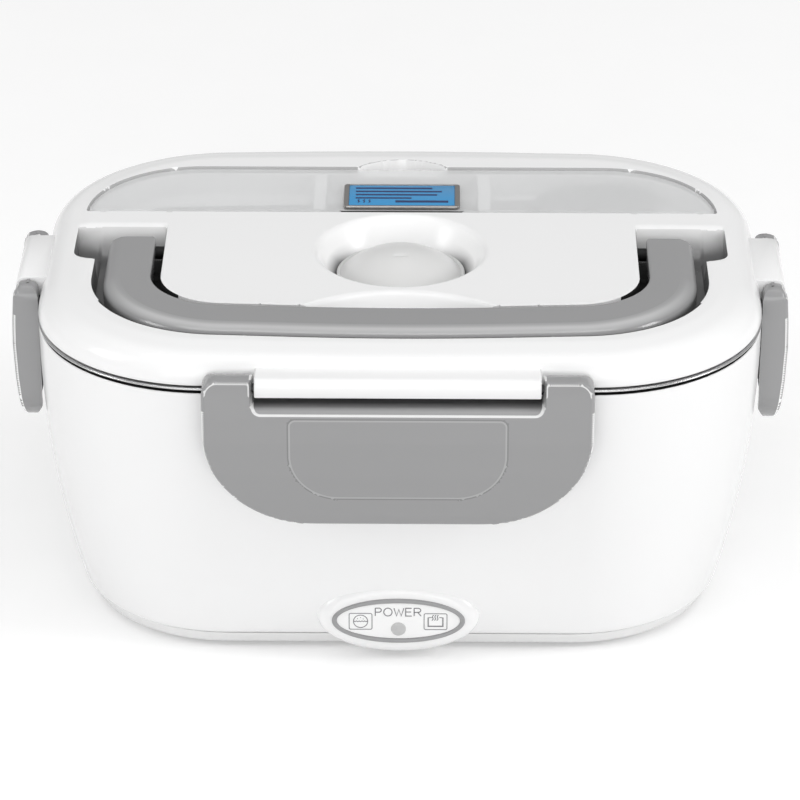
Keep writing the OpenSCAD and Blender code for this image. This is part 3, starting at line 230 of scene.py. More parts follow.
# %% The snapped grid
def slope_of(field, x, y, h=0.02):
    gx = (field(x + h, y) - field(x - h, y)) / (2 * h)
    gy = (field(x, y + h) - field(x, y - h)) / (2 * h)
    size = np.maximum(np.hypot(gx, gy), 1e-6)
    return gx / size, gy / size, size


def snapped_grid(half_u, low_v, high_v, step, outline, edges):
    """A grid's points, slid onto the levels of each edge field, and which of them lie inside outline."""
    nu, nv = int(2 * half_u / step) + 2, int((high_v - low_v) / step) + 2
    u, v = np.meshgrid(np.linspace(-half_u, half_u, nu), np.linspace(low_v, high_v, nv))
    free = np.ones(u.shape, bool)
    for field, levels in [(outline, [0.0])] + list(edges):
        for _ in range(2):
            d = field(u, v)
            gu, gv, size = slope_of(field, u, v)
            level = np.array(levels)[np.abs(d[..., None] - np.array(levels)).argmin(-1)]
            shift = (level - d) / size
            near = free & (np.abs(shift) <= 0.52 * step)
            u, v = u + np.where(near, shift * gu, 0), v + np.where(near, shift * gv, 0)
        free &= ~near
    return u, v, outline(u, v) < 1e-3


def sheet(u, v, inside, height):
    """Triangles over the inside points, each cell cut along its flatter diagonal, and the loop round them."""
    w = height(u, v)
    index = np.arange(u.size).reshape(u.shape)
    a, b, c, d = index[:-1, :-1], index[:-1, 1:], index[1:, 1:], index[1:, :-1]
    ok = inside.ravel()
    flat = w.ravel()
    oka, okb, okc, okd = ok[a], ok[b], ok[c], ok[d]
    first = np.abs(flat[a] - flat[c]) <= np.abs(flat[b] - flat[d])
    first = np.where(oka & okc & ~(okb & okd), True, np.where(okb & okd & ~(oka & okc), False, first))
    triangles = []
    for keep, corners in ((first & oka & okb & okc, (a, b, c)), (first & oka & okc & okd, (a, c, d)),
                          (~first & oka & okb & okd, (a, b, d)), (~first & okb & okc & okd, (b, c, d))):
        triangles.append(np.column_stack([q[keep] for q in corners]))
    triangles = np.vstack(triangles)
    used, inverse = np.unique(triangles, return_inverse=True)
    triangles = inverse.reshape(-1, 3)
    points = np.column_stack([u.ravel()[used], v.ravel()[used], flat[used]])
    edges = {(t[i], t[(i + 1) % 3]): True for t in triangles.tolist() for i in range(3)}
    following = {i: j for i, j in edges if (j, i) not in edges}
    loop, at = [], next(iter(following))
    while at not in loop[:1]:
        loop.append(at)
        at = following[at]
    return points, triangles.tolist(), loop


# %% [markdown]
# ## Shader sums written as Python
# Node trees read badly as long lists of links. A small class wraps one output socket and gives it
# arithmetic, so a mask can be written as `1 - noise * 0.2`. Each operation adds one Math node, and
# numbers alone are worked out by Python. Every other node comes from the one method node().

# %% The socket class
BUMP_DEPTH = 0.0001                               # metres that a bump stands for


class Signal:
    def __init__(self, paint, socket):
        self.paint, self.socket = paint, socket

    def _with(self, operation, first, second):
        return self.paint.node("ShaderNodeMath", {"operation": operation}, {0: first, 1: second})

    def __add__(self, other):
        return self._with("ADD", self, other)

    def __radd__(self, other):
        return self._with("ADD", other, self)

    def __sub__(self, other):
        return self._with("SUBTRACT", self, other)

    def __rsub__(self, other):
        return self._with("SUBTRACT", other, self)

    def __mul__(self, other):
        return self._with("MULTIPLY", self, other)

    def __rmul__(self, other):
        return self._with("MULTIPLY", other, self)


class Paint:
    def __init__(self, owner):
        owner.use_nodes = True
        self.owner, self.tree = owner, owner.node_tree
        self.output = next(n for n in self.tree.nodes if n.type.startswith("OUTPUT"))
        self.surface = self.output.inputs["Surface"].links[0].from_node

    def put(self, socket, value):
        if isinstance(value, Signal):
            self.tree.links.new(value.socket, socket)
        elif isinstance(value, (tuple, list)) and len(value) == 3 and socket.type == "RGBA":
            socket.default_value = (*value, 1.0)
        else:
            socket.default_value = value

    def node(self, kind, settings=None, sockets=None, out=0):
        made = self.tree.nodes.new(kind)
        for key, value in (settings or {}).items():
            setattr(made, key, value)
        for key, value in (sockets or {}).items():
            self.put(made.inputs[key], value)
        return Signal(self, made.outputs[out])

    def place(self, stretch=(1, 1, 1)):
        """Object coordinates, stretched, so that a pattern stays on the piece when it moves."""
        where = self.node("ShaderNodeTexCoord", out="Object")
        return self.node("ShaderNodeVectorMath", {"operation": "MULTIPLY"}, {0: where, 1: stretch})

    def noise(self, scale, detail=2.0, stretch=(1, 1, 1), roughness=0.5):
        return self.node("ShaderNodeTexNoise", None, {
            "Vector": self.place(stretch), "Scale": scale, "Detail": detail, "Roughness": roughness})

    def tint(self, factor, first, second):
        sockets = {"Factor": factor, 6: first, 7: second}
        return self.node("ShaderNodeMix", {"data_type": "RGBA"}, sockets, out=2)

    def bump(self, height, strength):
        sockets = {"Height": height, "Strength": strength, "Distance": BUMP_DEPTH}
        return self.node("ShaderNodeBump", None, sockets)

    def finish(self, **sockets):
        for key, value in sockets.items():
            self.put(self.surface.inputs[key.replace("_", " ")], value)
        return self.owner


def paint(name):
    return Paint(bpy.data.materials.new(name))


# %% [markdown]
# ## The plastics
# The housing is glossy white polypropylene: almost one colour, but a real moulding has faint flow marks,
# a slight orange peel that breaks up reflections, and gloss that varies with handling. A flat colour with
# one roughness looks like a drawing, so two noises at very different scales carry those marks.

# %% White and grey mouldings
def tone(colour):
    """A colour as it is, or one number for a neutral grey."""
    return colour if isinstance(colour, tuple) else (colour, colour, colour)


def moulded(name, light, dark, gloss, peel=0.06, grain=1500.0):
    p = paint(name)
    clouds = p.noise(14.0, 3.0)
    fine = p.noise(grain, 2.0)
    colour = p.tint(clouds, tone(dark), tone(light))
    rough = gloss + clouds * 0.06 + fine * 0.03
    return p.finish(Base_Color=colour, Roughness=rough, IOR=1.48, Normal=p.bump(fine, peel))


white_gloss = moulded("white_gloss", 0.93, (0.905, 0.905, 0.907), 0.13)
white_satin = moulded("white_satin", (0.88, 0.88, 0.875), 0.85, 0.36, 0.15, 2600.0)
grey_gloss = moulded("grey_gloss", (0.325, 0.325, 0.328), (0.31, 0.31, 0.313), 0.12)
black_plastic = moulded("black_plastic", (0.03, 0.03, 0.032), (0.02, 0.02, 0.022), 0.42, 0.3, 3000.0)
dark_rubber = moulded("dark_rubber", (0.06, 0.06, 0.062), (0.035, 0.035, 0.037), 0.62, 0.4, 2000.0)
board_green = moulded("board_green", (0.05, 0.2, 0.1), (0.035, 0.15, 0.08), 0.3)
heater_ceramic = moulded("heater_ceramic", (0.78, 0.75, 0.68), (0.7, 0.67, 0.6), 0.55, 0.4, 1800.0)
print("plastics made")

# %% [markdown]
# ## Painted light and shade that belong to an edge
# A seam's shade, a gap's shadow or the highlight along an edge is a line a fraction of a millimetre wide.
# Even light would lose it, so these finishes paint that shade or highlight on the few faces that make
# such a line. Where a gap grows dark with depth, a fade along one axis of the piece mixes light into dark,
# as painted shade. A mask could do all of this, but faces keep the line exactly on the edge.

# %% Painted highlights, lines and gap shade
Y, Z = 1, 2                                       # the axes, as a node's outputs count them


def shaded(name, light, dark, gloss, fade):
    """A plastic with painted shade, light to dark by fade: a signal that is 1 where light reaches the
    surface.
    """
    p = paint(name)
    fine = p.noise(1500.0, 2.0)
    return p.finish(Base_Color=p.tint(fade(p), dark, tone(light)), Roughness=gloss + fine * 0.1, IOR=1.48,
                    Normal=p.bump(fine, 0.06))


def mapped(p, value, dark_at, light_at):
    return p.node("ShaderNodeMapRange", None, {0: value, 1: dark_at, 2: light_at, 3: 0.0, 4: 1.0})


def along(p, axis, dark_at, light_at):
    """0 to 1 between two places, in metres, along an axis of the piece."""
    place = p.node("ShaderNodeTexCoord", out="Object")
    return mapped(p, p.node("ShaderNodeSeparateXYZ", None, {0: place}, out=axis), dark_at, light_at)


def channel_light(p):
    """Painted shade: light comes into the handle's channel from its open back."""
    open_back = along(p, Y, 0.003, 0.0155)
    return open_back * open_back


def bowl_light(p):
    """Painted shade: dark beside the disc, in the front half of the bowl."""
    place = p.node("ShaderNodeTexCoord", out="Object")
    centred = p.node("ShaderNodeVectorMath", {"operation": "ADD"}, {0: place, 1: (0.0, BOWL_FRONT * MM, 0.0)})
    level = p.node("ShaderNodeVectorMath", {"operation": "MULTIPLY"}, {0: centred, 1: (1.0, 1.0, 0.0)})
    radius = p.node("ShaderNodeVectorMath", {"operation": "LENGTH"}, {0: level}, out="Value")
    far, back = mapped(p, radius, 0.0196, 0.0228), along(p, Y, 0.004, 0.013)
    return far + back - far * back


def handle_highlight_band(p):
    """A painted highlight: a band of light along the handle's outer edge, fading out up the legs."""
    return along(p, Z, 0.1062, 0.1074) * along(p, Z, 0.10797, 0.1076) * along(p, Y, -0.024, -0.05)


# Painted highlights: the light caught along the latches' rounded edges and the lip's crest.
edge_highlight_white = moulded("edge_highlight_white", 0.95, 0.94, 0.12)
edge_highlight_grey = moulded("edge_highlight_grey", 0.74, 0.72, 0.12)
# Painted highlight and painted shade either side of the outline of a latch's grip panel.
grip_line_highlight = moulded("grip_line_highlight", (0.41, 0.41, 0.413), (0.4, 0.4, 0.403), 0.12)
grip_line_shade = moulded("grip_line_shade", (0.25, 0.25, 0.253), (0.24, 0.24, 0.243), 0.2)
# Painted shade: black for deep gaps and slots, grey for the thin gap round the cover and the notch's floor.
gap_shade_black = moulded("gap_shade_black", 0.008, 0.004, 0.6, 0.1)
gap_shade_grey = moulded("gap_shade_grey", 0.46, 0.44, 0.5, 0.1)
notch_shade_grey = moulded("notch_shade_grey", 0.72, 0.7, 0.3)
channel_painted_shade = shaded("channel_painted_shade", 0.93, (0.13, 0.13, 0.131), 0.2, channel_light)
bowl_painted_shade = shaded("bowl_painted_shade", 0.93, (0.03, 0.03, 0.031), 0.2, bowl_light)
# Painted shade under a latch's lug, darkest at the top of the lip.
lip_shade_grey = shaded("lip_shade_grey", (0.33, 0.33, 0.333), (0.004, 0.004, 0.004), 0.25,
                  lambda p: along(p, Z, 0.0953, 0.0932))
handle_painted_highlight = shaded("handle_painted_highlight", (0.5, 0.5, 0.503), (0.32, 0.32, 0.323), 0.1, handle_highlight_band)
print("edges, lines and gaps made")

# %% [markdown]
# ## The metals
# Drawn and rolled steel shows fine streaks along the sheet, and a polished rim shows mirror-like light
# broken by them. The noise is stretched a hundred times along one axis to draw those streaks.

# %% Steel and aluminium
def metal(name, colour, gloss, stretch):
    p = paint(name)
    lines = p.noise(90.0, 4.0, stretch, 0.6)
    clouds = p.noise(30.0, 2.0)
    darker = tuple(c * 0.86 for c in colour)
    rough = gloss + lines * 0.12 + clouds * 0.05
    return p.finish(Base_Color=p.tint(lines, darker, colour), Metallic=1.0, Roughness=rough,
                    Normal=p.bump(lines, 0.08))


container_steel = metal("container_steel", (0.66, 0.66, 0.665), 0.16, (1, 1, 60))
steel_parts = metal("steel_parts", (0.6, 0.6, 0.6), 0.22, (2, 40, 40))
spoon_steel = metal("spoon_steel", (0.8, 0.8, 0.8), 0.14, (2, 40, 40))
# Near black: the latch pins are painted as the shade between ears and lugs.
pin_shade_steel = metal("pin_shade_steel", (0.06, 0.06, 0.062), 0.3, (2, 40, 40))
plate_aluminium = metal("plate_aluminium", (0.72, 0.73, 0.75), 0.32, (1, 80, 80))
plate_metal = metal("plate_metal", (0.42, 0.41, 0.4), 0.25, (60, 2, 2))
print("metals made")

# %% [markdown]
# ## Silicone, frosted cover and the little printed parts
# The vent's disc and the seals are milky silicone, which lets a little light in. The spoon cover is thin
# frosted plastic: its alpha is low, so what lies under it shows as a faint shape, and the frosting is a
# fine bump.

# %% Silicone, frost, print
def milky(name, light, dark, gloss, depth):
    p = paint(name)
    clouds = p.noise(60.0, 3.0)
    fine = p.noise(1800.0, 2.0)
    return p.finish(Base_Color=p.tint(clouds, dark, light), Roughness=gloss + fine * 0.08,
                    Subsurface_Weight=0.35, Subsurface_Radius=(1.0, 1.0, 1.0), Subsurface_Scale=depth,
                    Normal=p.bump(fine, 0.12))


def frosted(name, colour, cover):
    p = paint(name)
    fine = p.noise(2400.0, 2.0)
    clouds = p.noise(20.0, 2.0)
    return p.finish(Base_Color=p.tint(clouds, tuple(c * 0.97 for c in colour), colour),
                    Alpha=cover + clouds * 0.04, Roughness=0.3 + fine * 0.1, IOR=1.48,
                    Normal=p.bump(fine, 0.2))


silicone = milky("silicone", (0.75, 0.75, 0.745), (0.7, 0.7, 0.695), 0.3, 0.002)
cover_clear = frosted("cover_clear", (0.97, 0.975, 0.98), 0.36)
lamp_lens = milky("lamp_lens", (0.6, 0.6, 0.6), (0.5, 0.5, 0.5), 0.25, 0.001)
ring_grey = moulded("ring_grey", (0.36, 0.36, 0.365), (0.3, 0.3, 0.305), 0.26)
face_white = moulded("face_white", 0.94, 0.93, 0.3, 0.05)
print_grey = moulded("print_grey", (0.2, 0.2, 0.21), (0.16, 0.16, 0.17), 0.4, 0.05)
insert_blue = moulded("insert_blue", (0.05, 0.32, 0.64), (0.04, 0.28, 0.58), 0.22, 0.05)
print_navy = moulded("print_navy", (0.01, 0.03, 0.14), (0.01, 0.025, 0.11), 0.35, 0.05)
print("silicone, frost and prints made")

# %% [markdown]
# ## The base housing
# The tub is wide at its rim and leans in towards the floor, more and more as it goes down, so its sides
# are gently bowed. Each ring is a rounded rectangle whose size follows a square law of the height. The
# skin goes up the outside, over a small rounded lip, and down the inside.

# %% Base housing
def lean(z):
    return ((BASE_TOP - z) / BASE_H) ** 2


def base_ring(inset, z):
    t = lean(z)
    return ring(RIM_W / 2 - DRAFT_SIDE * t - inset, RIM_D / 2 - DRAFT_FRONT * t - inset,
                RIM_R - CORNER_DROP * t - inset, z)


def rim_ring(inset, z):
    return ring(RIM_W / 2 - inset, RIM_D / 2 - inset, max(RIM_R - inset, 1), z)


def base_skin():
    foot, edge, wall, shelf, top = 2.0, 0.5, 2.4, BASE_TOP - 1.6, BASE_TOP + SEAM
    quarter = np.radians(range(0, 91, 15))
    rows = [base_ring(foot * (1 - math.sin(a)), BASE_Z + foot * (1 - math.cos(a))) for a in quarter]
    rows += [base_ring(0, z) for z in np.linspace(BASE_Z + 3.2, BASE_TOP, 34)]
    rows += [rim_ring(edge * (1 - math.cos(a)), top - edge + edge * math.sin(a)) for a in quarter]
    rows += [rim_ring(2.0, top), rim_ring(2.0, shelf), rim_ring(4.1, shelf), rim_ring(4.1, shelf - 1.5)]
    rows += [base_ring(wall, z) for z in np.linspace(shelf - 6, BASE_Z + 0.5, 12)]
    return loft(rows, "joined")


def ridge(out, length):
    """The ledge that a latch's hook catches under."""
    low = LID_Z + HINGE_UP + HOOK_TOP + 2.1
    return prism([[out - 1, low], [out + 1.6, low], [out + 1.8, low + 0.2], [out + 1.8, low + 1.2],
                  [out - 0.2, low + 4.4], [out - 1, low + 4.4]], length)


def boss():
    """The oval cushion that carries the power indicator, swelling out of the front wall."""
    rows = []
    for inset, forward in [(0, -4), (0, -9.4), (0.15, -10.2), (0.5, -11), (1.0, -11.6), (1.7, -12.15),
                           (2.5, -12.6), (3.4, -12.8), (4.4, -12.8)]:
        x, z, y = (oval(24.5 - inset, 12.0 - inset, 12.8 - BOSS_Y + forward, 144) + [0, RING_Z, 0]).T
        # it never reaches back into the bottom cover
        rows.append(np.column_stack([x, np.where(z < BASE_Z + 0.2, np.minimum(y, -63.4), y), z]))
    return loft(rows)


at_ridge = lean(76.5)
front_wall, side_wall = RIM_D / 2 - DRAFT_FRONT * at_ridge, RIM_W / 2 - DRAFT_SIDE * at_ridge
ridges = [turned(ridge(out, length), turn) for turn, out, length in
          [(0, front_wall, 57), (180, front_wall, 57), (90, side_wall, 24.2), (270, side_wall, 24.2)]]
base_housing = piece("base_housing", joined(base_skin(), boss(), *ridges), "base", white_gloss,
                     ["base_shell"])
# The top of the base's lip is painted black, as the shade in the gap under the container's bead.
repaint(base_housing, gap_shade_black, lambda x, y, z: z > BASE_TOP + SEAM - 0.02)

# %% [markdown]
# ## The steel container
# A deep-drawn tub with a flat flange whose edge is curled into a bead. Only the bead shows while the lid
# is on: a thin bright line between lid and base. The skin goes up the outside, round the bead and down
# the inside.

# %% Steel container
def container_skin():
    deep, steel, fr, curl = 56.5, 0.6, 9.0, 1.8       # fr: the fillet round the floor
    top = BASE_TOP + 0.3 + curl
    deck, low = top - curl / 2, top - deep

    def wall(inset, z, steel_in=0.0):
        t = (top - z) / deep
        return ring(RIM_W / 2 - 7.2 - 4 * t - inset - steel_in, RIM_D / 2 - 7.2 - 6.5 * t - inset - steel_in,
                    RIM_R - 7.2 - 3 * t - inset - steel_in, z)

    turn = np.radians(range(90, -1, -10))
    rows = [wall(fr - fr * math.cos(a), low + fr - fr * math.sin(a)) for a in turn]
    rows += [wall(0, z) for z in np.linspace(low + fr + 6, deck - 1.6, 5)]
    rows += [rim_ring(6.6, deck - 0.6), rim_ring(6.0, deck - 0.3), rim_ring(2.2, deck + 0.3)]
    rows += [rim_ring(0.6 - 0.85 * math.cos(a), deck + SEAM + 0.2 - 0.42 * math.sin(a))
             for a in np.radians(range(120, -121, -20))]
    rows += [rim_ring(2.2, deck + 0.8), rim_ring(6.2, deck + 0.3), rim_ring(7.2, deck + 0.05)]
    rows += [wall(0, z, steel) for z in np.linspace(deck - 1.6, low + fr + 6, 5)]
    fillet = fr - steel
    rows += [wall(fillet * (1 - math.cos(a)), low + fr - fillet * math.sin(a), steel) for a in turn[::-1]]
    return loft(rows)


piece("container_tub", container_skin(), "container", container_steel, ["steel_container"], 50)

# %% [markdown]
# ## The lid's moulded top
# Everything that makes this lid is in its top face: the rounded border, the U-shaped channel where the
# handle lies, finger pockets beside the handle's pivots, the bowl round the steam valve, a shallow scoop,
# and the recess for the spoon cover. Each is a distance field with its own wall profile, and the face is
# the border's height less the deepest of them.

# %% Fields of the lid's features
HANDLE_W, HANDLE_FRONT, BAND, FRONT_BAND, PIVOT_Y = 179.0, 60.0, 14.3, 17.0, 0.5
TRAY_X, TRAY_R, TRAY_Y = 63.0, 35.0, 24.6


def bow(x):
    """How far the handle's front, and the channel with it, is moved out at x."""
    return 2.7 * np.maximum(1 - (x / 75) ** 2, 0) ** 2


def bail_field(x, y, half, front, back, r):
    return box_field(x, y + bow(x), 0, (back - front) / 2, half, (back + front) / 2, r, 0.5)


def bail_place(x, y):
    """The room that the channel gives the bail."""
    return bail_field(x, y, HANDLE_W / 2 + 3.2, HANDLE_FRONT + 1.6, 60, 37.6)


def island_field(x, y):
    return bail_field(x, y, HANDLE_W / 2 - BAND - 2.7, HANDLE_FRONT - FRONT_BAND - 2.0, 80, 19)


def trench_field(x, y):
    """The handle's channel, open at its back so that a ramp can end it."""
    return both(bail_place(x, y), -island_field(x, y), 1.0)


def pocket_field(x, y):
    return box_field(np.abs(x), y, 84.1, 25, 15.4, 35, 5.5)


def tray_field(x, y):
    return both(box_field(x, y, 0, TRAY_Y - 0.6, TRAY_X + TRAY_R, TRAY_R, TRAY_R - 0.01), TRAY_Y - y, 1.5)


def bowl_field(x, y):
    return np.hypot(x, y + BOWL_FRONT) - BOWL_R


def scoop_field(x, y):
    return both(np.hypot(x, y + 77) - 44.2, -45.7 - y, 2.0)


def notch_field(x, y):
    return both(np.hypot(x, y - 45) - 19.6, 57 - y, 0.5)


def rest_field(x, y):
    return np.maximum(np.abs(np.abs(x) - 25.8) - 2.2, TRAY_Y + 6 - y)


def slot_field(x, y):
    return box_field(np.abs(x), y, 74.5, -14.5, 1.9, 9.5, 0.3)


print("channel's field at the bar's middle:", round(float(trench_field(0, 8.5 - HANDLE_FRONT)), 1), "mm")

# %% [markdown]
# ## From fields to one height
# A wall is a curve from a field's distance to a depth: a small rounding, then almost upright, or a long
# soft slope for bowl and scoop. The long sides of the border are filled out a little, and a few rounds of
# averaging find the point of the fillet that lies over each place.

# %% The height of the lid's top
DEPTH = LID_TOP - POCKET_Z
FILLET_IN, FILLET_UP = 8.5, 8.2    # the border's fillet: how far in it reaches, and how high


def filled(angle):
    """How much of the filling-out of the long sides a point of the fillet gets."""
    return smooth((angle - 12) / 60) * (1 - 0.15 * smooth((angle - 70) / 20))


def bulge(x, y):
    across = np.clip((np.abs(y) - RIM_D / 2 + RIM_R) / RIM_R, 0, 1)
    return 2.6 * np.maximum(1 - (x / 85) ** 2, 0) ** 1.5 * across


def lid_border(x, y):
    """Height of the plain border: an upright edge, a wide fillet, then a slight crown."""
    inset = np.maximum(-rim_field(x, y), 0)
    out = bulge(x, y)
    angle = np.degrees(np.arccos(np.clip(1 - inset / FILLET_IN, 0, 1)))
    for _ in range(14):
        found = np.degrees(np.arccos(np.clip(1 - (inset + out * filled(angle)) / FILLET_IN, 0, 1)))
        angle = 0.4 * angle + 0.6 * found
    return LID_Z + 2 + FILLET_UP * np.sin(np.radians(angle)) + 0.6 * smooth((inset + out - 7) / 6)


def steep(d, out=0.9, into=0.3):
    """A wall: a small rounding at its top edge, then almost upright."""
    t = np.clip((out - d) / (out + into), 0, 1)
    return np.where(t < 0.5, 0.06 * t * t, 0.015 + (t - 0.5) * 1.97)


def lid_height(x, y):
    ramp = smooth((16.0 - y) / 13.0)
    trench = np.where(trench_field(x, y) < 1.7, steep(trench_field(x, y)), 0) * ramp
    rising = 1 - 0.25 * smooth((np.abs(x) - 88) / 11)
    pocket = steep(pocket_field(x, y)) * rising * ramp
    pocket = np.where((np.abs(x) > 74) & (y > -12.5) & (y < 20), pocket, 0)
    drop = np.maximum(trench, pocket) * DEPTH
    bowl = smooth((1.2 - bowl_field(x, y)) / 7.4) * DEPTH
    scoop = smooth((1.0 - scoop_field(x, y)) / 6.0) * 5.0 * (y > -47)
    notch = smooth((0.3 - notch_field(x, y)) / 0.6) * 3.4
    drop = np.maximum.reduce([drop, bowl, scoop, notch])
    tray = tray_field(x, y)
    ledge = np.where(tray < 0.31, 2.1, 0) * smooth((0.3 - tray) / 0.6)
    at_front = smooth((TRAY_Y + 7 - y) / 1.5)           # no ledge where the cover's front edge turns down
    deep = smooth((-1.6 + 1.6 * at_front - tray) / 0.6) * DEPTH
    rest = np.minimum(deep, 2.1 + 6.3 * smooth((rest_field(x, y) + 0.3) / 0.6))
    drop = np.where(tray < 0.31, np.maximum.reduce([ledge, rest, notch]), drop)
    drop = drop + 1.1 * (slot_field(x, y) < -0.01) + 1.0 * (np.hypot(x, y + BOWL_FRONT) < 5.99)
    return lid_border(x, y) - drop


print("the lid's crown is", round(float(lid_border(0, 0)), 2), "mm up")

# %% [markdown]
# ## Top and skirt in one skin
# The grid ends just inside the rim, because its fillet turns upright there. From that line, rings go down
# the edge, round its lower corner and up inside, and the last one is capped. All of them share the grid's
# own boundary points, so no crack can open between top and skirt.

# %% The lid's skin
BORDER = 0.9                       # how far inside the rim the grid ends and the skirt's rings begin
u, v, inside = snapped_grid(RIM_W / 2, -RIM_D / 2, RIM_D / 2, 0.62, lambda x, y: rim_field(x, y) + BORDER,
                            [(trench_field, [0.9, 0.3, -0.3]), (tray_field, [0.3, -0.3, -1.6, -2.2]),
                             (pocket_field, [0.9, 0.3, -0.3]), (notch_field, [0.65, 0.3, -0.3]),
                             (rest_field, [0.3, -0.3]), (slot_field, [0.0]), (scoop_field, [1.0])])
top_points, top_faces, loop = sheet(u, v, inside, lid_height)
edge = top_points[loop]
gx, gy, _ = slope_of(rim_field, edge[:, 0], edge[:, 1])
rim_line = edge[:, :2] + np.column_stack([gx, gy]) * (-rim_field(edge[:, 0], edge[:, 1]))[:, None]


def skirt(inset, z):
    return np.column_stack([rim_line - np.column_stack([gx, gy]) * inset, np.full(len(edge), z)])


spread = bulge(edge[:, 0], edge[:, 1])[:, None]
rows = [skirt(FILLET_IN * (1 - math.cos(math.radians(a))) - spread * filled(a),
              LID_Z + 2 + FILLET_UP * math.sin(math.radians(a))) for a in (22, 17, 12, 7, 0)]
lower_edge = ((0, 0.5), (0.1, 0.2), (0.4, 0), (1.8, 0), (1.8, 1.6))
rows += [skirt(inset, LID_Z + SEAM + up) for inset, up in lower_edge]
rows += [skirt(8.8, LID_Z + 2.6), skirt(10.5, POCKET_Z - 1.35)]
n = len(loop)
lines = [loop] + [[len(top_points) + i * n + j for j in range(n)] for i in range(len(rows))]
skirt_faces = [[upper[j], lower[j], lower[(j + 1) % n], upper[(j + 1) % n]]
               for upper, lower in zip(lines, lines[1:]) for j in range(n)]
lid_skin = (np.vstack([top_points, *rows]), top_faces + skirt_faces + [lines[-1]])
print("the lid's skin:", len(lid_skin[0]), "points")

# %% [markdown]
# ## The lugs that carry the latches
# Four bars stand out of the lid's edge, each with a round top, and a latch's two ears turn about the pin
# that runs through them. A prism with an arc in its profile is enough; its ends are drawn in by a small
# bevel.

# %% Lugs
def lug(out, length, high=3.7):
    pin, top = out + HINGE_OUT, LID_Z + HINGE_UP + high
    outline = [[out - 2.6, LID_Z + 0.5], [pin + 1.8, LID_Z + 0.5]]
    outline += [[pin + 3.2, LID_Z + 1.2], [pin + 3.4, LID_Z + 1.5]]
    outline += arc(pin + 0.8, top - 2.6, 2.6, 0, 90, 8)
    outline += [[out - 2.6, top]]
    outline = np.array(outline)
    middle = outline.mean(0)
    rows = []
    bevel = [(1, 0.6), (0.999, 0.25), (0.996, 0.06), (0.99, 0)]
    for x, inset in [(-x, inset) for x, inset in bevel] + bevel[::-1]:
        drawn = middle + (outline - middle) * (1 - inset / 3.5)
        rows.append(np.column_stack([np.full(len(outline), x * length / 2), drawn]))
    return loft(rows)


LUG_L, SIDE_LUG_L = 83.2, 30.4
lugs = [turned(lug(RIM_D / 2, LUG_L, BACK_LUG), 0), turned(lug(RIM_D / 2, LUG_L), 180),
        turned(lug(RIM_W / 2, SIDE_LUG_L), 90), turned(lug(RIM_W / 2, SIDE_LUG_L), 270)]
lid_cover = piece("lid_cover", joined(lid_skin, *lugs), "lid", white_gloss, ["lid_shell"], 55)


# %% [markdown]
# ## Painted shade in the gaps round the handle, the disc and the spoon cover
# Light hardly reaches a gap of half a millimetre. Each test below picks the faces of one gap, from the
# same fields that shaped it, and gives them a darker finish: painted shade, and in the channel and the bowl
# a fade of painted shade. A later test wins where two overlap.

# %% Painted shade in the lid's gaps
# The faces of the channel and of the pockets by the handle's legs, which get the channel's painted shade.
def in_channel(x, y, z):
    low = (z > POCKET_Z - 1.3) & (z < LID_TOP - 0.7) & (np.abs(x) < 103) & (y > -68) & (y < 17)
    sunk = (trench_field(x, y) < 0.75) | ((pocket_field(x, y) < 0.75) & (np.abs(x) > 74))
    by_the_legs = ((y > -44) | (np.abs(x) > 80)) & ((np.abs(x) > 66) | (y > -36))
    return low & sunk & by_the_legs


def inner_gap(x, y, z):
    """The deep, narrow gap between the handle's legs and the island, painted black as shade."""
    gap = island_field(x, y)
    return in_channel(x, y, z) & (z < LID_TOP - 1.6) & (gap > -0.3) & (gap < 5.5) & (y < 5) & (np.abs(x) > 64)


# The bowl's wall round the disc, which gets the bowl's painted shade.
def in_bowl(x, y, z):
    return (np.abs(bowl_field(x, y) + 2.9) < 3.6) & (z < LID_TOP - 0.8)


def front_line(x, y, z):
    """The shadow between the bar and the channel's front edge."""
    edge_line = (np.abs(trench_field(x, y) - 0.6) < 0.29) & (bail_place(x, y) > 0)
    return edge_line & (y < -40) & (z > LID_TOP - 0.6)


# The thin gap round the spoon cover and the notch's edge, painted grey as shade.
def cover_gap(x, y, z):
    notch = notch_field(x, y)
    round_tray = (np.abs(tray_field(x, y) + 0.1) < 0.3) & (notch > 0.3) & (z > LID_TOP - 2.0)
    round_notch = (np.abs(notch - 0.48) < 0.17) & (y > 57.6) & (z > LID_TOP - 0.6)
    return (round_tray | round_notch) & (z < LID_TOP + 0.1)


# The notch's floor, painted grey as shade.
def notch_floor(x, y, z):
    return (notch_field(x, y) < -0.3) & (y > 57) & (z < LID_TOP - 2.8)


# The lid's faces under the plate's slot, painted black as shade.
def under_slot(x, y, z):
    return (np.abs(x) < 18.6) & (y > TRAY_Y - 0.2) & (y < TRAY_Y + 3.2) & (z < LID_TOP - 1.5)


for finish, chosen in [(channel_painted_shade, in_channel), (gap_shade_black, front_line), (gap_shade_black, inner_gap),
                       (bowl_painted_shade, in_bowl), (gap_shade_grey, cover_gap), (notch_shade_grey, notch_floor),
                       (gap_shade_black, under_slot)]:
    repaint(lid_cover, finish, chosen)

# %% [markdown]
# ## The steam valve
# A silicone disc with a raised dome sits in the bowl and plugs the vent. It is round, so its profile,
# with a cap of a ball on top, is simply turned on a lathe. A bell curve then presses the short groove
# into the dome.

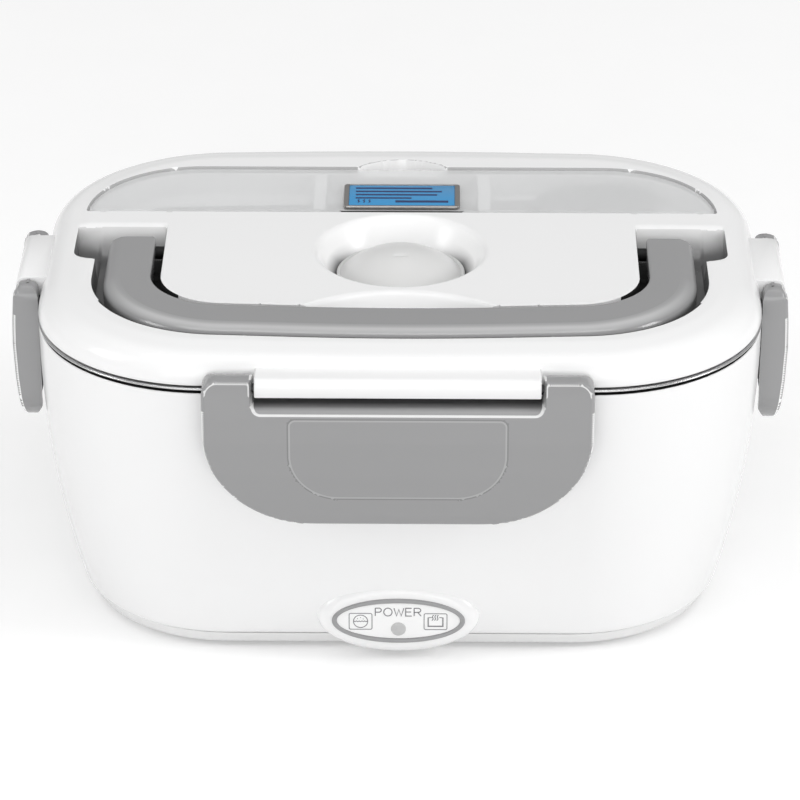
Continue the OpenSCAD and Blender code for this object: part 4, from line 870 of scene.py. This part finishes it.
# %% Steam valve
def valve_skin():
    r, z, high, ball = 19.6, POCKET_Z + 0.3, 8.0, 26.6
    rows = [(0.05, 85.4), (3.6, 85.4), (5.2, 86.8), (5.2, 87.8), (4.5, 88.4), (4.5, z), (r - 0.6, z),
            (r - 0.15, z + 0.15), (r, z + 0.4), (r, z + 0.6), (r - 0.15, z + 0.75), (r - 0.9, z + 0.8)]
    rows += [(reach, z + high - ball + math.sqrt(ball ** 2 - reach ** 2))
             for reach in np.linspace(r - 1.2, 0.05, 46)]
    points, faces = lathe(rows, 144)
    # a short groove across the dome, in front of its middle
    groove = np.exp(-(points[:, 0] / 1.9) ** 4 - ((points[:, 1] + 3.2) / 0.7) ** 2) * (points[:, 2] > z + 1)
    return points - [0, BOWL_FRONT, 0] - groove[:, None] * [0, 0, 0.4], faces


piece("steam_valve_disc", valve_skin(), "valve", silicone, ["steam_valve"], 60)

# %% [markdown]
# ## The handle
# One bar swept round a U. Its section is a rounded rectangle whose outer corners have the larger radius,
# and the sweep ends in half-round noses about the two pivots. Sweeping a ring keeps the highlight along
# the edge unbroken.

# %% Handle
PIVOT_Z = 103.8


def band_section(half_u, top, bottom, outer=(5.2, 3.4), inner=(1.0, 0.9), low=(1.4, 1.4), steps=12):
    """A ring round the band: u to the outside of the bail, v up, with oval corners."""
    k = min(1.0, (top - bottom) * 0.98 / (max(outer[1], inner[1]) + low[1]))
    points = []
    for su, sv, v, start, (ru, rv) in [(1, 1, top, 0, outer), (-1, 1, top, 90, inner),
                                       (-1, -1, bottom, 180, low), (1, -1, bottom, 270, low)]:
        for a in np.radians(np.linspace(start, start + 90, steps + 1)):
            points.append([su * (half_u - ru * k) + ru * k * math.cos(a),
                           v - sv * rv * k + rv * k * math.sin(a)])
    return np.array(points)


def handle_skin():
    leg, front_half, half_t, reach = BAND / 2, FRONT_BAND / 2, 4.1, 4.3
    mid, front, r = HANDLE_W / 2 - leg, HANDLE_FRONT - front_half, 36 - leg

    def end(s):
        """A ring of a leg's end, s behind the pivot: square above, round below."""
        top = half_t if s < 2.8 else half_t - 1.5 + math.sqrt(max(2.25 - (s - 2.8) ** 2, 0))
        bottom = -half_t * math.sqrt(max(1 - (s / reach) ** 2, 0))
        u = leg if s < 2.3 else leg - 2 + math.sqrt(max(4 - (s - 2.3) ** 2, 0))
        return mid, PIVOT_Y + s, -90, u, top, bottom

    # the right half, from the leg's end to the start of the bar, and its mirror image
    right = [end(s) for s in (4.3, 4.22, 4.0, 3.6, 3.2, 2.8, 2.3, 1.6, 0.8)]
    right += [(mid, y, -90, leg, half_t, -half_t) for y in np.linspace(PIVOT_Y, -front + r, 6)[:-1]]
    for a in np.linspace(0, 90, 31):
        t = math.radians(a)
        right.append((mid - r + r * math.cos(t), -front + r - r * math.sin(t), a - 90,
                      leg + (front_half - leg) * a / 90, half_t, -half_t))
    bar = [(x, -front, 0, front_half, half_t, -half_t) for x in np.linspace(mid - r, -mid + r, 33)[1:-1]]
    stations = right + bar + [(-x, y, -heading, *size) for x, y, heading, *size in right[::-1]]
    rows = []
    for x, y, heading, half_u, top, bottom in stations:
        section = band_section(half_u, top, bottom)
        h = math.radians(heading)
        px = x - section[:, 0] * math.sin(h)
        rows.append(np.column_stack([px, y - section[:, 0] * math.cos(h) - bow(px), PIVOT_Z + section[:, 1]]))
    pins = HANDLE_W / 2 - BAND - 2.7 / 2 - 0.4
    return joined(loft(rows), *[stud(2.0, 3.3, 32, side * pins, PIVOT_Y, PIVOT_Z) for side in (-1, 1)])


handle_bar = piece("handle_bar", handle_skin(), "bail", grey_gloss, ["handle"], 50)


def outside(x, y):
    return bail_field(x, y, HANDLE_W / 2, HANDLE_FRONT, 60, 36)


# A painted highlight along the bar's outer edge, and painted black shade on the inner faces and pins by the
# pivots.
repaint(handle_bar, handle_painted_highlight, lambda x, y, z: (outside(x, y) > -5.2) & (y < -20) & (z > 104.5))
repaint(handle_bar, gap_shade_black, lambda x, y, z: (np.abs(x) < HANDLE_W / 2 - BAND - 0.05) & (y > -5))

# %% [markdown]
# ## The latches
# Each latch is a relief too, this time seen from outside the box: its outline is cut away between the two
# ears, its face bows gently, a sloping lip leads down from the lug, and a shallow panel marks where
# fingers pull. The back is a second relief on the same grid, hollow behind the face, with the hook across
# it.

# %% Latch reliefs
DROP = 44.5
LIP = 7.0                          # how far below the pin the sloping lip ends
EDGE = 1.0                         # radius of the edge round a latch's face
BACK, BACK_LOW, WALL = -3.7, -37.5, 2.2           # depth of the back, where it turns forward, and the wall
LEAN_IN = 0.43                     # how far the hook reaches in past the upright
ROUND_EAR = 3.5                    # the side latches' ears are round, and a little smaller
# the face's section: heights below the pin, and how far the face stands out there
BOW = [(-45, 1.0), (-44.1, 1.9), (-41, 2.6), (-35.6, 3.3), (-27, 4.1), (-16, 4.6), (-8, 4.4), (0, 3.9)]


def latch_fields(w, ear, corner, grip_w, ear_h):
    """Distance fields of a latch's outline, of its lip under the lug, and of its grip panel."""
    notch = w / 2 - ear

    def lip(x, z):
        return box_field(x, -z, 0, LIP / 2 - 6, notch, 6 + LIP / 2, 0.05, 2.4)

    def outline(x, z):
        # the lower corners are a little wider than they are high
        low = box_field(x, z / 0.93, 0, (40 - DROP / 0.93) / 2, w / 2, (40 + DROP / 0.93) / 2, corner, 3.0)
        top = box_field(x, z, 0, (4.1 - 60) / 2, w / 2, (4.1 + 60) / 2, 3.0, 5.3)
        whole = np.maximum.reduce([low * 0.95, top, z - ear_h])
        return both(whole, -np.maximum(np.abs(x) - notch, -4.3 - z), 0.6)

    def grip(x, z):
        return box_field(x, z, 0, -21.5, grip_w / 2, 13.1, min(14.5, grip_w / 2 - 1), 2.0)

    return outline, lip, grip


def face_bow(z):
    """How far a latch's face stands out, at a height below its pin."""
    return np.interp(z, [height for height, _ in BOW], [out for _, out in BOW])


def circle_at(r, z, least=0):
    return np.sqrt(np.clip(r ** 2 - z ** 2, least, None))


def line_at(d, middle):
    """1 along a line at one distance of a field, fading to 0 at 0.3 mm from it."""
    return smooth((0.3 - np.abs(d - middle)) / 0.3)


def latch_shape(w, hook_w, fields, ears):
    outline, lip, grip = fields
    away = math.radians(27)            # the slope of low ears, downwards from the box

    def face(x, z):
        line = grip(x, z)
        bowed = face_bow(z) - 0.22 * line_at(line, 0.25) * (z < -8.4) + 0.12 * line_at(line, -0.3)
        slope = 4.5 + (0.1 - LIP - z) * 1.08
        near = smooth((0.35 - lip(x, z)) / 0.7)
        bowed = bowed * (1 - near) + (-both(-bowed, -slope, 0.8)) * near
        if ears == "low":
            bowed = np.minimum(bowed, (BACK_EAR - z * math.cos(away)) / math.sin(away))
        if ears == "round":
            bowed = np.where(z > 0, np.minimum(bowed, circle_at(ROUND_EAR, z)), bowed)
        return bowed - (EDGE - circle_at(EDGE, EDGE - np.clip(-outline(x, z), 0, EDGE)))

    def back(x, z):
        r = ROUND_EAR if ears == "round" else EAR_R
        rim = np.where(z > 0, -circle_at(r, np.minimum(z, r), 0.02), BACK)
        rim = np.where(z < BACK_LOW, BACK + (BACK_LOW - z) * 0.42, rim)
        hollow = np.maximum(outline(x, z) + WALL, z + 7.4) < 0
        surface = np.where(hollow, face_bow(z) - WALL, rim)
        tip = -HINGE_OUT - LEAN_IN + 1.8 - 0.75
        hook = (np.abs(x) < hook_w / 2) & (z < HOOK_TOP) & (z > HOOK_LOW)
        hooked = np.where(z > HOOK_LIP, tip, tip + (HOOK_LIP - z) * 1.15)
        return np.where(hook & hollow, np.minimum(surface, hooked), surface)

    edges = [(lip, [0.35, -0.35]), (outline, [-0.4, -0.8, -1.2, -2.2]), (grip, [0.45, 0.0, -0.5])]
    u, v, inside = snapped_grid(w / 2 + 1, -DROP - 1, 5.2, 0.6, outline, edges)
    points, faces, loop = sheet(u, v, inside, face)
    behind = np.column_stack([points[:, 0], points[:, 1], back(points[:, 0], points[:, 1])])
    skin, faces = two_sided(points, behind, faces, loop)
    return skin[:, [0, 2, 1]], faces


print("a latch's face stands out", round(float(face_bow(-16)), 1), "mm at its middle")

# %% [markdown]
# ## Four latches on four sides
# Every latch is drawn as the back one stands and then turned to its side. Its painted highlights and
# shade lines are picked in its own plan: a place on the latch is turned back into that plan, and the same
# fields say which line it belongs to.

# %% The latches in place
def side_of(turn):
    """How far out a side's hinge pin is, with the cosine and sine of the side's turn."""
    out = (RIM_D if turn % 180 == 0 else RIM_W) / 2 + HINGE_OUT
    return out, math.cos(math.radians(turn)), math.sin(math.radians(turn))


def latch(side, turn, w, ear, corner, hook_w, grip_w, ears):
    ear_h = {"square": EAR_R, "low": 3.35, "round": ROUND_EAR}[ears]
    fields = outline, lip, grip = latch_fields(w, ear, corner, grip_w, ear_h)
    out, c, s = side_of(turn)
    shape = turned(latch_shape(w, hook_w, fields, ears), turn, (-s * out, c * out, LID_Z + HINGE_UP))
    made = piece(f"latch_{side}_clip", shape, f"latch_{side}_arm", grey_gloss, [f"latch_{side}"], 48)
    notch = w / 2 - ear

    def near(field, level, half):
        return lambda u, v: np.abs(field(u, v) - level) < half

    rim = near(outline, -0.2, 0.19)
    # Painted shade and highlight either side of the grip's outline, painted highlights along the ears, the
    # face's rim and the lip's crest, and painted shade on the lip under the lug.
    for finish, test in [
            (grip_line_shade, near(grip, 0.22, 0.22)),
            (grip_line_highlight, near(grip, -0.25, 0.25)),
            (edge_highlight_grey, lambda u, v: (v > -1) & near(outline, -1.0, 0.19)(u, v) & (np.abs(u) > notch + 0.9)),
            (edge_highlight_grey, lambda u, v: rim(u, v) & (np.abs(u) < notch + 0.6)),
            (edge_highlight_white, lambda u, v: rim(u, v) & (v < -6)),
            (lip_shade_grey, lambda u, v: (lip(u, v) < -0.35) & (v < -2)),
            (edge_highlight_grey, lambda u, v: near(lip, 0, 0.35)(u, v) & (v < -4.5))]:
        repaint(made, finish, lambda x, y, z: (c * y - s * x - out > -1.6) & test(
            c * x + s * y, z - LID_Z - HINGE_UP))


latch("front", 180, 114, 14.8, 33, 47.9, 63.6, "square")
latch("back", 0, 114, 14.8, 33, 47.9, 63.6, "low")
latch("left", 90, 44, 6.2, 14, 19.8, 26.0, "round")
latch("right", 270, 44, 6.2, 14, 19.8, 26.0, "round")

# %% [markdown]
# ## The spoon's frosted cover
# The cover is a thin plate that follows the compartment's outline. Its rim is rounded so that a line of
# light runs round it, and its front edge has a slot for the information plate. The spoon lies below it.

# %% Spoon cover
INFO_W, INFO_D, INFO_Y = 36.4, 17.0, TRAY_Y + 2.6
COVER_TOP = LID_TOP - 0.4


def cover_field(x, y):
    whole = both(tray_field(x, y) + 0.35, TRAY_Y + 0.95 - y, 1.2)
    slot = box_field(x, y, 0, TRAY_Y, INFO_W / 2 + 0.6, 2.2, 0.4)
    return both(whole, -slot, 0.5)


def cover_skin():
    u, v, inside = snapped_grid(99, TRAY_Y - 1, 61, 0.9, cover_field, [(cover_field, [-0.6])])
    rounding = lambda x, y: COVER_TOP - 0.35 * np.clip(1 + cover_field(x, y) / 0.6, 0, 1) ** 2
    points, faces, loop = sheet(u, v, inside, rounding)
    studs = [stud(r, half, 24, side * (TRAY_X + TRAY_R - inset), TRAY_Y + 4.2, 104.1)
             for side in (-1, 1) for inset, r, half in ((4.2, 1.8, 2.2), (0.7, 1.0, 2.3))]
    return joined(two_sided(points, points * [1, 1, 0] + [0, 0, COVER_TOP - 1.6], faces, loop), *studs)


spoon_lid = piece("spoon_cover_plate", cover_skin(), "cover", cover_clear, ["spoon_cover"], 50)
# The faces in the plate's slot are painted black, as shade.
repaint(spoon_lid, gap_shade_black,
        lambda x, y, z: (np.abs(x) < INFO_W / 2 + 0.8) & (y < TRAY_Y + 2.5) & (z < COVER_TOP - 0.05))

# %% [markdown]
# ## The spoon
# It lies in the compartment and shows through the frosting only as a faint shape. A row of
# cross-sections, each an arched strip and its underside, gives the narrow handle and the dished bowl in
# one loft.

# %% Spoon
def spoon_skin():
    """Cross-sections along the spoon: half width, height of the edge, depth of the dish."""
    length = 160.0
    rows = []
    for s in np.concatenate([np.linspace(0, 0.1, 8), np.linspace(0.14, 0.7, 14), np.linspace(0.72, 1, 44)]):
        x = s * length - length / 2
        t = (s - 0.76) / 0.24
        round_end = math.sqrt(max(1 - max(0, 1 - s / 0.028) ** 2, 0.004))
        handle_w = 4.0 * round_end * (1 - 0.42 * smooth(np.array(s / 0.66)))
        if t > 0:
            bowl = 12.8 * math.sqrt(max(1 - (2 * t - 1) ** 2, 0.0))
            w = max(bowl, handle_w * (1 - t * 6)) if t < 0.2 else max(bowl, 0.12)
            dish = 3.0 * math.sqrt(max(1 - (2 * t - 1) ** 2, 0.0)) * min(w / 6, 1)
        else:
            w, dish = handle_w, 0.0
        edge_z = 3.2 - 0.5 * smooth(np.array((s - 0.7) / 0.2))
        across = np.linspace(-1, 1, 17)
        top = np.column_stack([np.full(17, x), across * w, edge_z + 0.5 - dish * (1 - across ** 2)])
        rows.append(np.vstack([top, top[::-1] - [0, 0, 1.1]]))
    return turned(loft(rows), 4.2, (0, TRAY_Y + 13.5, POCKET_Z + 0.5))


piece("spoon_steel", spoon_skin(), "lid", spoon_steel, ["spoon"], 50)

# %% [markdown]
# ## The information plate
# A small metal frame holds a printed blue film under it. The film carries plain bars and a drop of steam
# in place of words: enough to say "a label goes here" without naming anything.

# %% Information plate
def slab(cy, half_w, half_d, r, low, high, edge):
    rows = [(edge, low), (0, low + edge), (0, high - edge), (edge * 0.3, high - edge * 0.3), (edge, high)]
    return loft([ring(half_w - i, half_d - i, max(r - i, 0.05), z, 8) + [0, cy, 0] for i, z in rows])


def framed(cy, half_w, half_d, r, side, end, low, sunk, high):
    """A slab with a sunken field, as one skin."""
    outer = [(0.15, low), (0, low + 0.15), (0, high - 0.2), (0.06, high - 0.06), (0.2, high)]
    rows = [ring(half_w - i, half_d - i, r - i, z, 8) for i, z in outer]
    rows += [ring(half_w - side - extra, half_d - end - extra, 0.4 - extra, z, 8)
             for extra, z in [(-0.1, high), (0, high - 0.1), (0, sunk)]]
    return loft([row + [0, cy, 0] for row in rows])


info_cy = INFO_Y + INFO_D / 2
sunk = COVER_TOP + 0.6
info_shape = framed(info_cy, INFO_W / 2, INFO_D / 2, 1.2, 1.6, 0.7, COVER_TOP, sunk, COVER_TOP + 1.2)
piece("info_frame", info_shape, "cover", plate_metal, ["info_plate"])
film_shape = slab(info_cy, INFO_W / 2 - 1.65, INFO_D / 2 - 0.75, 0.4, sunk, COVER_TOP + 1.0, 0.05)
piece("info_film", film_shape, "cover", insert_blue, ["info_insert"])

# %% [markdown]
# ## Printing
# Ink is a very thin solid. A stroke is a ribbon with mitred corners, a twentieth of a millimetre thick,
# so that it survives export as real geometry. The same ribbon writes the pictograms and the word beside
# the lamp.

# %% Ribbons of ink
def ribbon(path, width, low, high, closed=False):
    """A stroke along a path of (u, v) points, from height low to high."""
    path = np.array(path, float)
    before = np.roll(path, 1, 0) if closed else np.vstack([path[:1] * 2 - path[1:2], path[:-1]])
    after = np.roll(path, -1, 0) if closed else np.vstack([path[1:], path[-1:] * 2 - path[-2:-1]])
    a, b = path - before, after - path
    a, b = a / np.linalg.norm(a, axis=1)[:, None], b / np.linalg.norm(b, axis=1)[:, None]
    tangent = a + b
    tangent = tangent / np.maximum(np.linalg.norm(tangent, axis=1), 0.3)[:, None]
    normal = np.column_stack([-tangent[:, 1], tangent[:, 0]])
    stretch = 1 / np.clip((normal * np.column_stack([-a[:, 1], a[:, 0]])).sum(1), 0.6, 1)
    across = normal * (width / 2 * stretch)[:, None]
    sections = [np.array([[*left, low], [*right, low], [*right, high], [*left, high]])
                for left, right in zip(path + across, path - across)]
    return loft(sections, "joined" if closed else "caps")


def wave(u, v0, v1, swing, steps=10):
    t = np.linspace(0, 1, steps + 1)
    return np.column_stack([u + swing * np.sin(t * 2 * math.pi) + (t - 0.5) * 0.5, v0 + (v1 - v0) * t])


print("a plain stroke has", len(ribbon([[0, 0], [1, 0]], 1, 0, 1)[0]), "points")

# %% [markdown]
# ## Plain bars on the film
# Five bars and three waves of steam stand where the real film carries its printing.

# %% The plate's bars
ink_low, ink_high = COVER_TOP + 1.0, COVER_TOP + 1.05
marks = []
for row, stop in enumerate([9.5, 12.5, 11.0, 3.0]):
    v_bar = info_cy + 5.6 - row * 2.5
    marks.append(ribbon([[-14.5, v_bar], [stop, v_bar]], 1.0, ink_low, ink_high))
marks.append(ribbon([[-2.0, info_cy - 4.5], [14.5, info_cy - 4.5]], 1.5, ink_low, ink_high))
for k in range(3):
    marks.append(ribbon(wave(-13.5 + k * 1.7, info_cy - 5.4, info_cy - 3.2, 0.3), 0.4, ink_low, ink_high))
piece("info_marks", joined(*marks), "cover", print_navy)

# %% [markdown]
# ## The power indicator
# A grey ring frames a white oval face with a lamp's lens, two pictograms and the word POWER, which is as
# plain a mark as numbers on a dial. Ring and face are rows of ovals, and the lens is turned.

# %% Indicator ring, face and lens
def to_front(shape, y_face):
    """Turns a relief drawn in (u, v, height) to face the front, at y_face."""
    points = np.asarray(shape[0], float)
    return np.column_stack([points[:, 0], y_face - points[:, 2], points[:, 1] + RING_Z]), shape[1]


def oval_rows(pairs):
    return [oval(20.1 - inset, 7.6 - inset, height, 160) for inset, height in pairs]


def indicator(name, shape, finish, node):
    piece(name, to_front(shape, -BOSS_Y), "base", finish, [node], 50)


bezel = [(0.03, -0.45), (0.03, 0.25), (0.12, 0.45), (0.35, 0.62), (0.75, 0.69), (1.15, 0.62), (1.4, 0.4),
         (1.5, 0.1), (1.5, -0.45)]
indicator("indicator_bezel", loft(oval_rows(bezel), "joined"), ring_grey, "indicator_ring")
panel = [(1.53, -0.45), (1.53, 0.12), (1.6, 0.18), (1.75, 0.2)]
indicator("indicator_panel", loft(oval_rows(panel)), face_white, "indicator_face")
lens_points, lens_faces = lathe([(0.01, -4.0), (2.28, -4.0), (2.28, 0.22), (2.22, 0.34), (2.05, 0.45),
                                 (1.7, 0.6), (1.2, 0.75), (0.6, 0.86), (0.01, 0.9)], 64)
indicator("indicator_lens_cap", (lens_points - [0, 2.8, 0], lens_faces), lamp_lens, "indicator_lens")

# %% [markdown]
# ## Pictograms and one plain word
# One rounded frame holds a round dish, the other a pot with steam, and the word stands over the lens
# between them. Capitals are strokes on a unit square, stretched to the width of each letter, so no font
# file is needed.

# %% Indicator print
PRINT, LOW, HIGH = 0.24, 0.19, 0.25               # a line's width, and the ink's height over the face
DISH, POT, SIGN_V = -11.4, 11.2, -0.2             # where the two signs are
ink = []


def stroke(path, width, closed=False):
    ink.append(ribbon(path, width, LOW, HIGH, closed))


def ellipse(cu, cv, half_u, half_v, degrees):
    return [[cu + half_u * math.cos(a), cv + half_v * math.sin(a)] for a in np.radians(degrees)]


def letters(word, height, pitch, centre_v, weight=0.3):
    """Plain stroke capitals on a unit grid, five of them being enough here."""
    bowl = [([[0, 0], [0, 1]], False),
            ([[0, 1], *ellipse(0.55, 0.74, 0.35, 0.26, range(90, -91, -15)), [0, 0.48]], False)]
    strokes = {"P": bowl,
               "O": [(ellipse(0.5, 0.5, 0.5, 0.5, range(0, 360, 15)), True)],
               "W": [([[0, 1], [0.27, 0], [0.5, 0.85], [0.73, 0], [1, 1]], False)],
               "E": [([[0.9, 1], [0, 1], [0, 0], [0.92, 0]], False), ([[0, 0.52], [0.82, 0.52]], False)],
               "R": bowl + [([[0.5, 0.48], [0.95, 0]], False)]}
    widths = {"P": 2.0, "O": 2.5, "W": 3.0, "E": 2.0, "R": 2.2}
    at = -(sum(widths[c] for c in word) + pitch * (len(word) - 1)) / 2
    for c in word:
        for path, closed in strokes[c]:
            stroke([[at + px * widths[c], centre_v + (py - 0.5) * height] for px, py in path], weight, closed)
        at += widths[c] + pitch


letters("POWER", 2.7, 0.55, 3.05)
for cu in (DISH, POT):
    stroke(ring(3.45, 2.75, 0.5, 0, 4)[:, :2] + [cu, SIGN_V], PRINT, True)
stroke(ellipse(DISH, SIGN_V, 2.15, 2.15, range(0, 360, 12)), PRINT, True)
stroke([[DISH - 2.1 + 0.42 * k, SIGN_V + 0.12 * (-1) ** k] for k in range(11)], PRINT)
for du, dv in ((-0.9, 0.7), (0, 1.1), (0.8, 0.6)):
    stroke([[DISH + du - 0.12, dv], [DISH + du + 0.12, dv]], 0.22)
for grow in (0, 0.45):
    wall, floor = 2.1 + grow / 2, -1.7 - grow / 2
    stroke([[POT - 1.0 - grow, 1.25], [POT - wall, 1.15], [POT - wall, floor], [POT + wall, floor],
            [POT + wall, 1.15], [POT + 1.0 + grow, 1.25]], 0.17)
for k in (-1, 0, 1):
    stroke(wave(POT - 0.1 + k * 0.72, 0.2, 2.1, 0.2), 0.26)
piece("indicator_print", to_front(joined(*ink), -BOSS_Y), "base", print_grey)

# %% [markdown]
# ## The power inlet
# The socket at the back is sunk into a wall that leans, so it is drawn flat, like the indicator, and then
# tipped by the wall's own angle. Its frame and floor are one skin, and two round-ended contacts stand up
# from the floor.

# %% Power inlet
INLET_Z, INLET_TILT = 18.0, 15.5                  # the socket's height, and the wall's lean there in degrees


def to_back(shape):
    """Turns a relief drawn in (u, v, height) to lie on the leaning back wall, at the inlet."""
    points = np.asarray(shape[0], float)
    c, s = math.cos(math.radians(INLET_TILT)), math.sin(math.radians(INLET_TILT))
    wall = RIM_D / 2 - DRAFT_FRONT * lean(INLET_Z)
    return np.column_stack([-points[:, 0], wall + points[:, 2] * c + points[:, 1] * s,
                            INLET_Z + points[:, 1] * c - points[:, 2] * s]), shape[1]


piece("inlet_socket", to_back(framed(0, 13.0, 8.0, 2.6, 2.4, 2.2, -1.5, 0.4, 1.6)), "base", black_plastic,
      ["inlet_housing"], 50)
pin, pin_faces = lathe([(0.01, -1.0), (1.2, -1.0), (1.2, 1.0), (0.9, 1.25), (0.01, 1.25)], 24)
piece("inlet_contacts", joined(*[to_back((pin + [side * 4.3, 0, 0], pin_faces)) for side in (-1, 1)]), "base",
      steel_parts, ["inlet_pins"])

# %% [markdown]
# ## Finishes for the solids that keep their CAD shape
# Parts that hide under the lid or under the base are right as they are, and are seen when the box is
# turned over or opened. They only need the finish of the real material, and the latch pins a near-black
# one as painted shade, so the finish goes into their own material slot.

# %% Paint the CAD nodes
kept = {
    white_satin: ["base_liner", "bottom_cover", "lid_inner_panel"],
    silicone: ["plate_seal", "lid_seal"],
    dark_rubber: ["foot_front_left", "foot_front_right", "foot_back_left", "foot_back_right"],
    plate_aluminium: ["heating_plate"],
    steel_parts: ["bottom_screws", "heater_strap", "strap_screws"],
    pin_shade_steel: ["latch_pin_front", "latch_pin_back", "latch_pin_left", "latch_pin_right"],
    black_plastic: ["thermostat"],
    heater_ceramic: ["heater_element", "thermal_fuse"],
    board_green: ["indicator_board"],
    lamp_lens: ["indicator_lamp"],
}
for finish, names in kept.items():
    for name in names:
        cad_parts[name].data.materials.clear()
        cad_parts[name].data.materials.append(finish)
print("painted", sum(map(len, kept.values())), "CAD nodes")

# %% [markdown]
# ## The stage
# A white sweep with a soft shadow: the floor is a real surface that takes the shadow, and a little light
# of its own, given only to camera, mirror and glass rays, lifts it to plain white. The object is lit by
# an even dome and four soft lamps, so that a colour comes out about as it was written.

# %% Floor, world, lamps
FLOOR_LIFT, DOME, SKY = 0.275, 0.46, 1.02         # the floor's own light, the dome's, and the backdrop's


def ray(p, kind):
    return p.node("ShaderNodeLightPath", out=f"Is {kind} Ray")


def shader_of(p):
    return Signal(p, p.surface.outputs[0])


mesh = bpy.data.meshes.new("floor")
work = bmesh.new()
bmesh.ops.create_grid(work, x_segments=40, y_segments=40, size=6.0)
work.to_mesh(mesh)
work.free()
floor = bpy.data.objects.new("floor", mesh)
bpy.context.scene.collection.objects.link(floor)
p = paint("floor_white")
seen = ray(p, "Camera") + ray(p, "Glossy") + ray(p, "Transmission")
p.finish(Base_Color=p.tint(p.noise(40.0), (0.8, 0.8, 0.8), (0.82, 0.82, 0.82)), Roughness=0.9)
glow = p.node("ShaderNodeEmission", None, {"Color": (1.0, 1.0, 1.0), "Strength": seen * FLOOR_LIFT})
p.put(p.output.inputs["Surface"], p.node("ShaderNodeAddShader", None, {0: glow, 1: shader_of(p)}))
mesh.materials.append(p.owner)

sky = Paint(bpy.data.worlds.new("studio"))
bpy.context.scene.world = sky.owner
sky.finish(Color=(1.0, 1.0, 1.0), Strength=DOME)
rays = {0: ray(sky, "Camera"), 1: ray(sky, "Transmission")}
seen = sky.node("ShaderNodeMath", {"operation": "MAXIMUM"}, rays)
white = sky.node("ShaderNodeBackground", None, {"Color": (1.0, 1.0, 1.0), "Strength": SKY})
lit = sky.node("ShaderNodeMixShader", None, {0: seen, 1: shader_of(sky), 2: white})
sky.put(sky.output.inputs["Surface"], lit)


def soft_lamp(name, place, size, power, target=(0, 0, 0.05)):
    lamp = bpy.data.lights.new(name, "AREA")
    lamp.shape, lamp.size, lamp.size_y, lamp.energy = "RECTANGLE", size[0], size[1], power
    made = bpy.data.objects.new(name, lamp)
    bpy.context.scene.collection.objects.link(made)
    made.location = place
    aim = mathutils.Vector(target) - mathutils.Vector(place)
    made.rotation_euler = aim.to_track_quat("-Z", "Y").to_euler()


soft_lamp("key_lamp", (0.0, -0.35, 1.6), (1.7, 0.35), 6.5)
soft_lamp("front_lamp", (0.0, -2.2, 0.55), (2.4, 0.9), 15.0)
soft_lamp("left_lamp", (-1.5, -0.5, 0.9), (0.5, 0.6), 6.0)
soft_lamp("right_lamp", (1.5, -0.4, 0.9), (0.5, 0.6), 9.0)
print("floor, dome and lamps made")

# %% [markdown]
# ## The camera
# A long lens from the front, a little above. The lens is long enough that the box's sides hardly
# converge, and the shift is less than a pixel.

# %% Camera
ELEVATION, TURN, DISTANCE, AIM_Z = math.radians(26.9), math.radians(0.6), 1.3103, 0.0538
camera_data = bpy.data.cameras.new("camera")
camera_data.sensor_width = 36.0
camera_data.lens = 36.0 * 4200 / 800
camera_data.shift_x = -0.001
camera_data.clip_end = 20
camera = bpy.data.objects.new("camera", camera_data)
bpy.context.scene.collection.objects.link(camera)
flat = DISTANCE * math.cos(ELEVATION)
camera.location = (flat * math.sin(TURN), -flat * math.cos(TURN), AIM_Z + DISTANCE * math.sin(ELEVATION))
camera.rotation_euler = (math.pi / 2 - ELEVATION, 0, TURN)
bpy.context.scene.camera = camera
bpy.context.scene.view_settings.view_transform = "Standard"
print("camera at", tuple(round(c, 4) for c in camera.location))
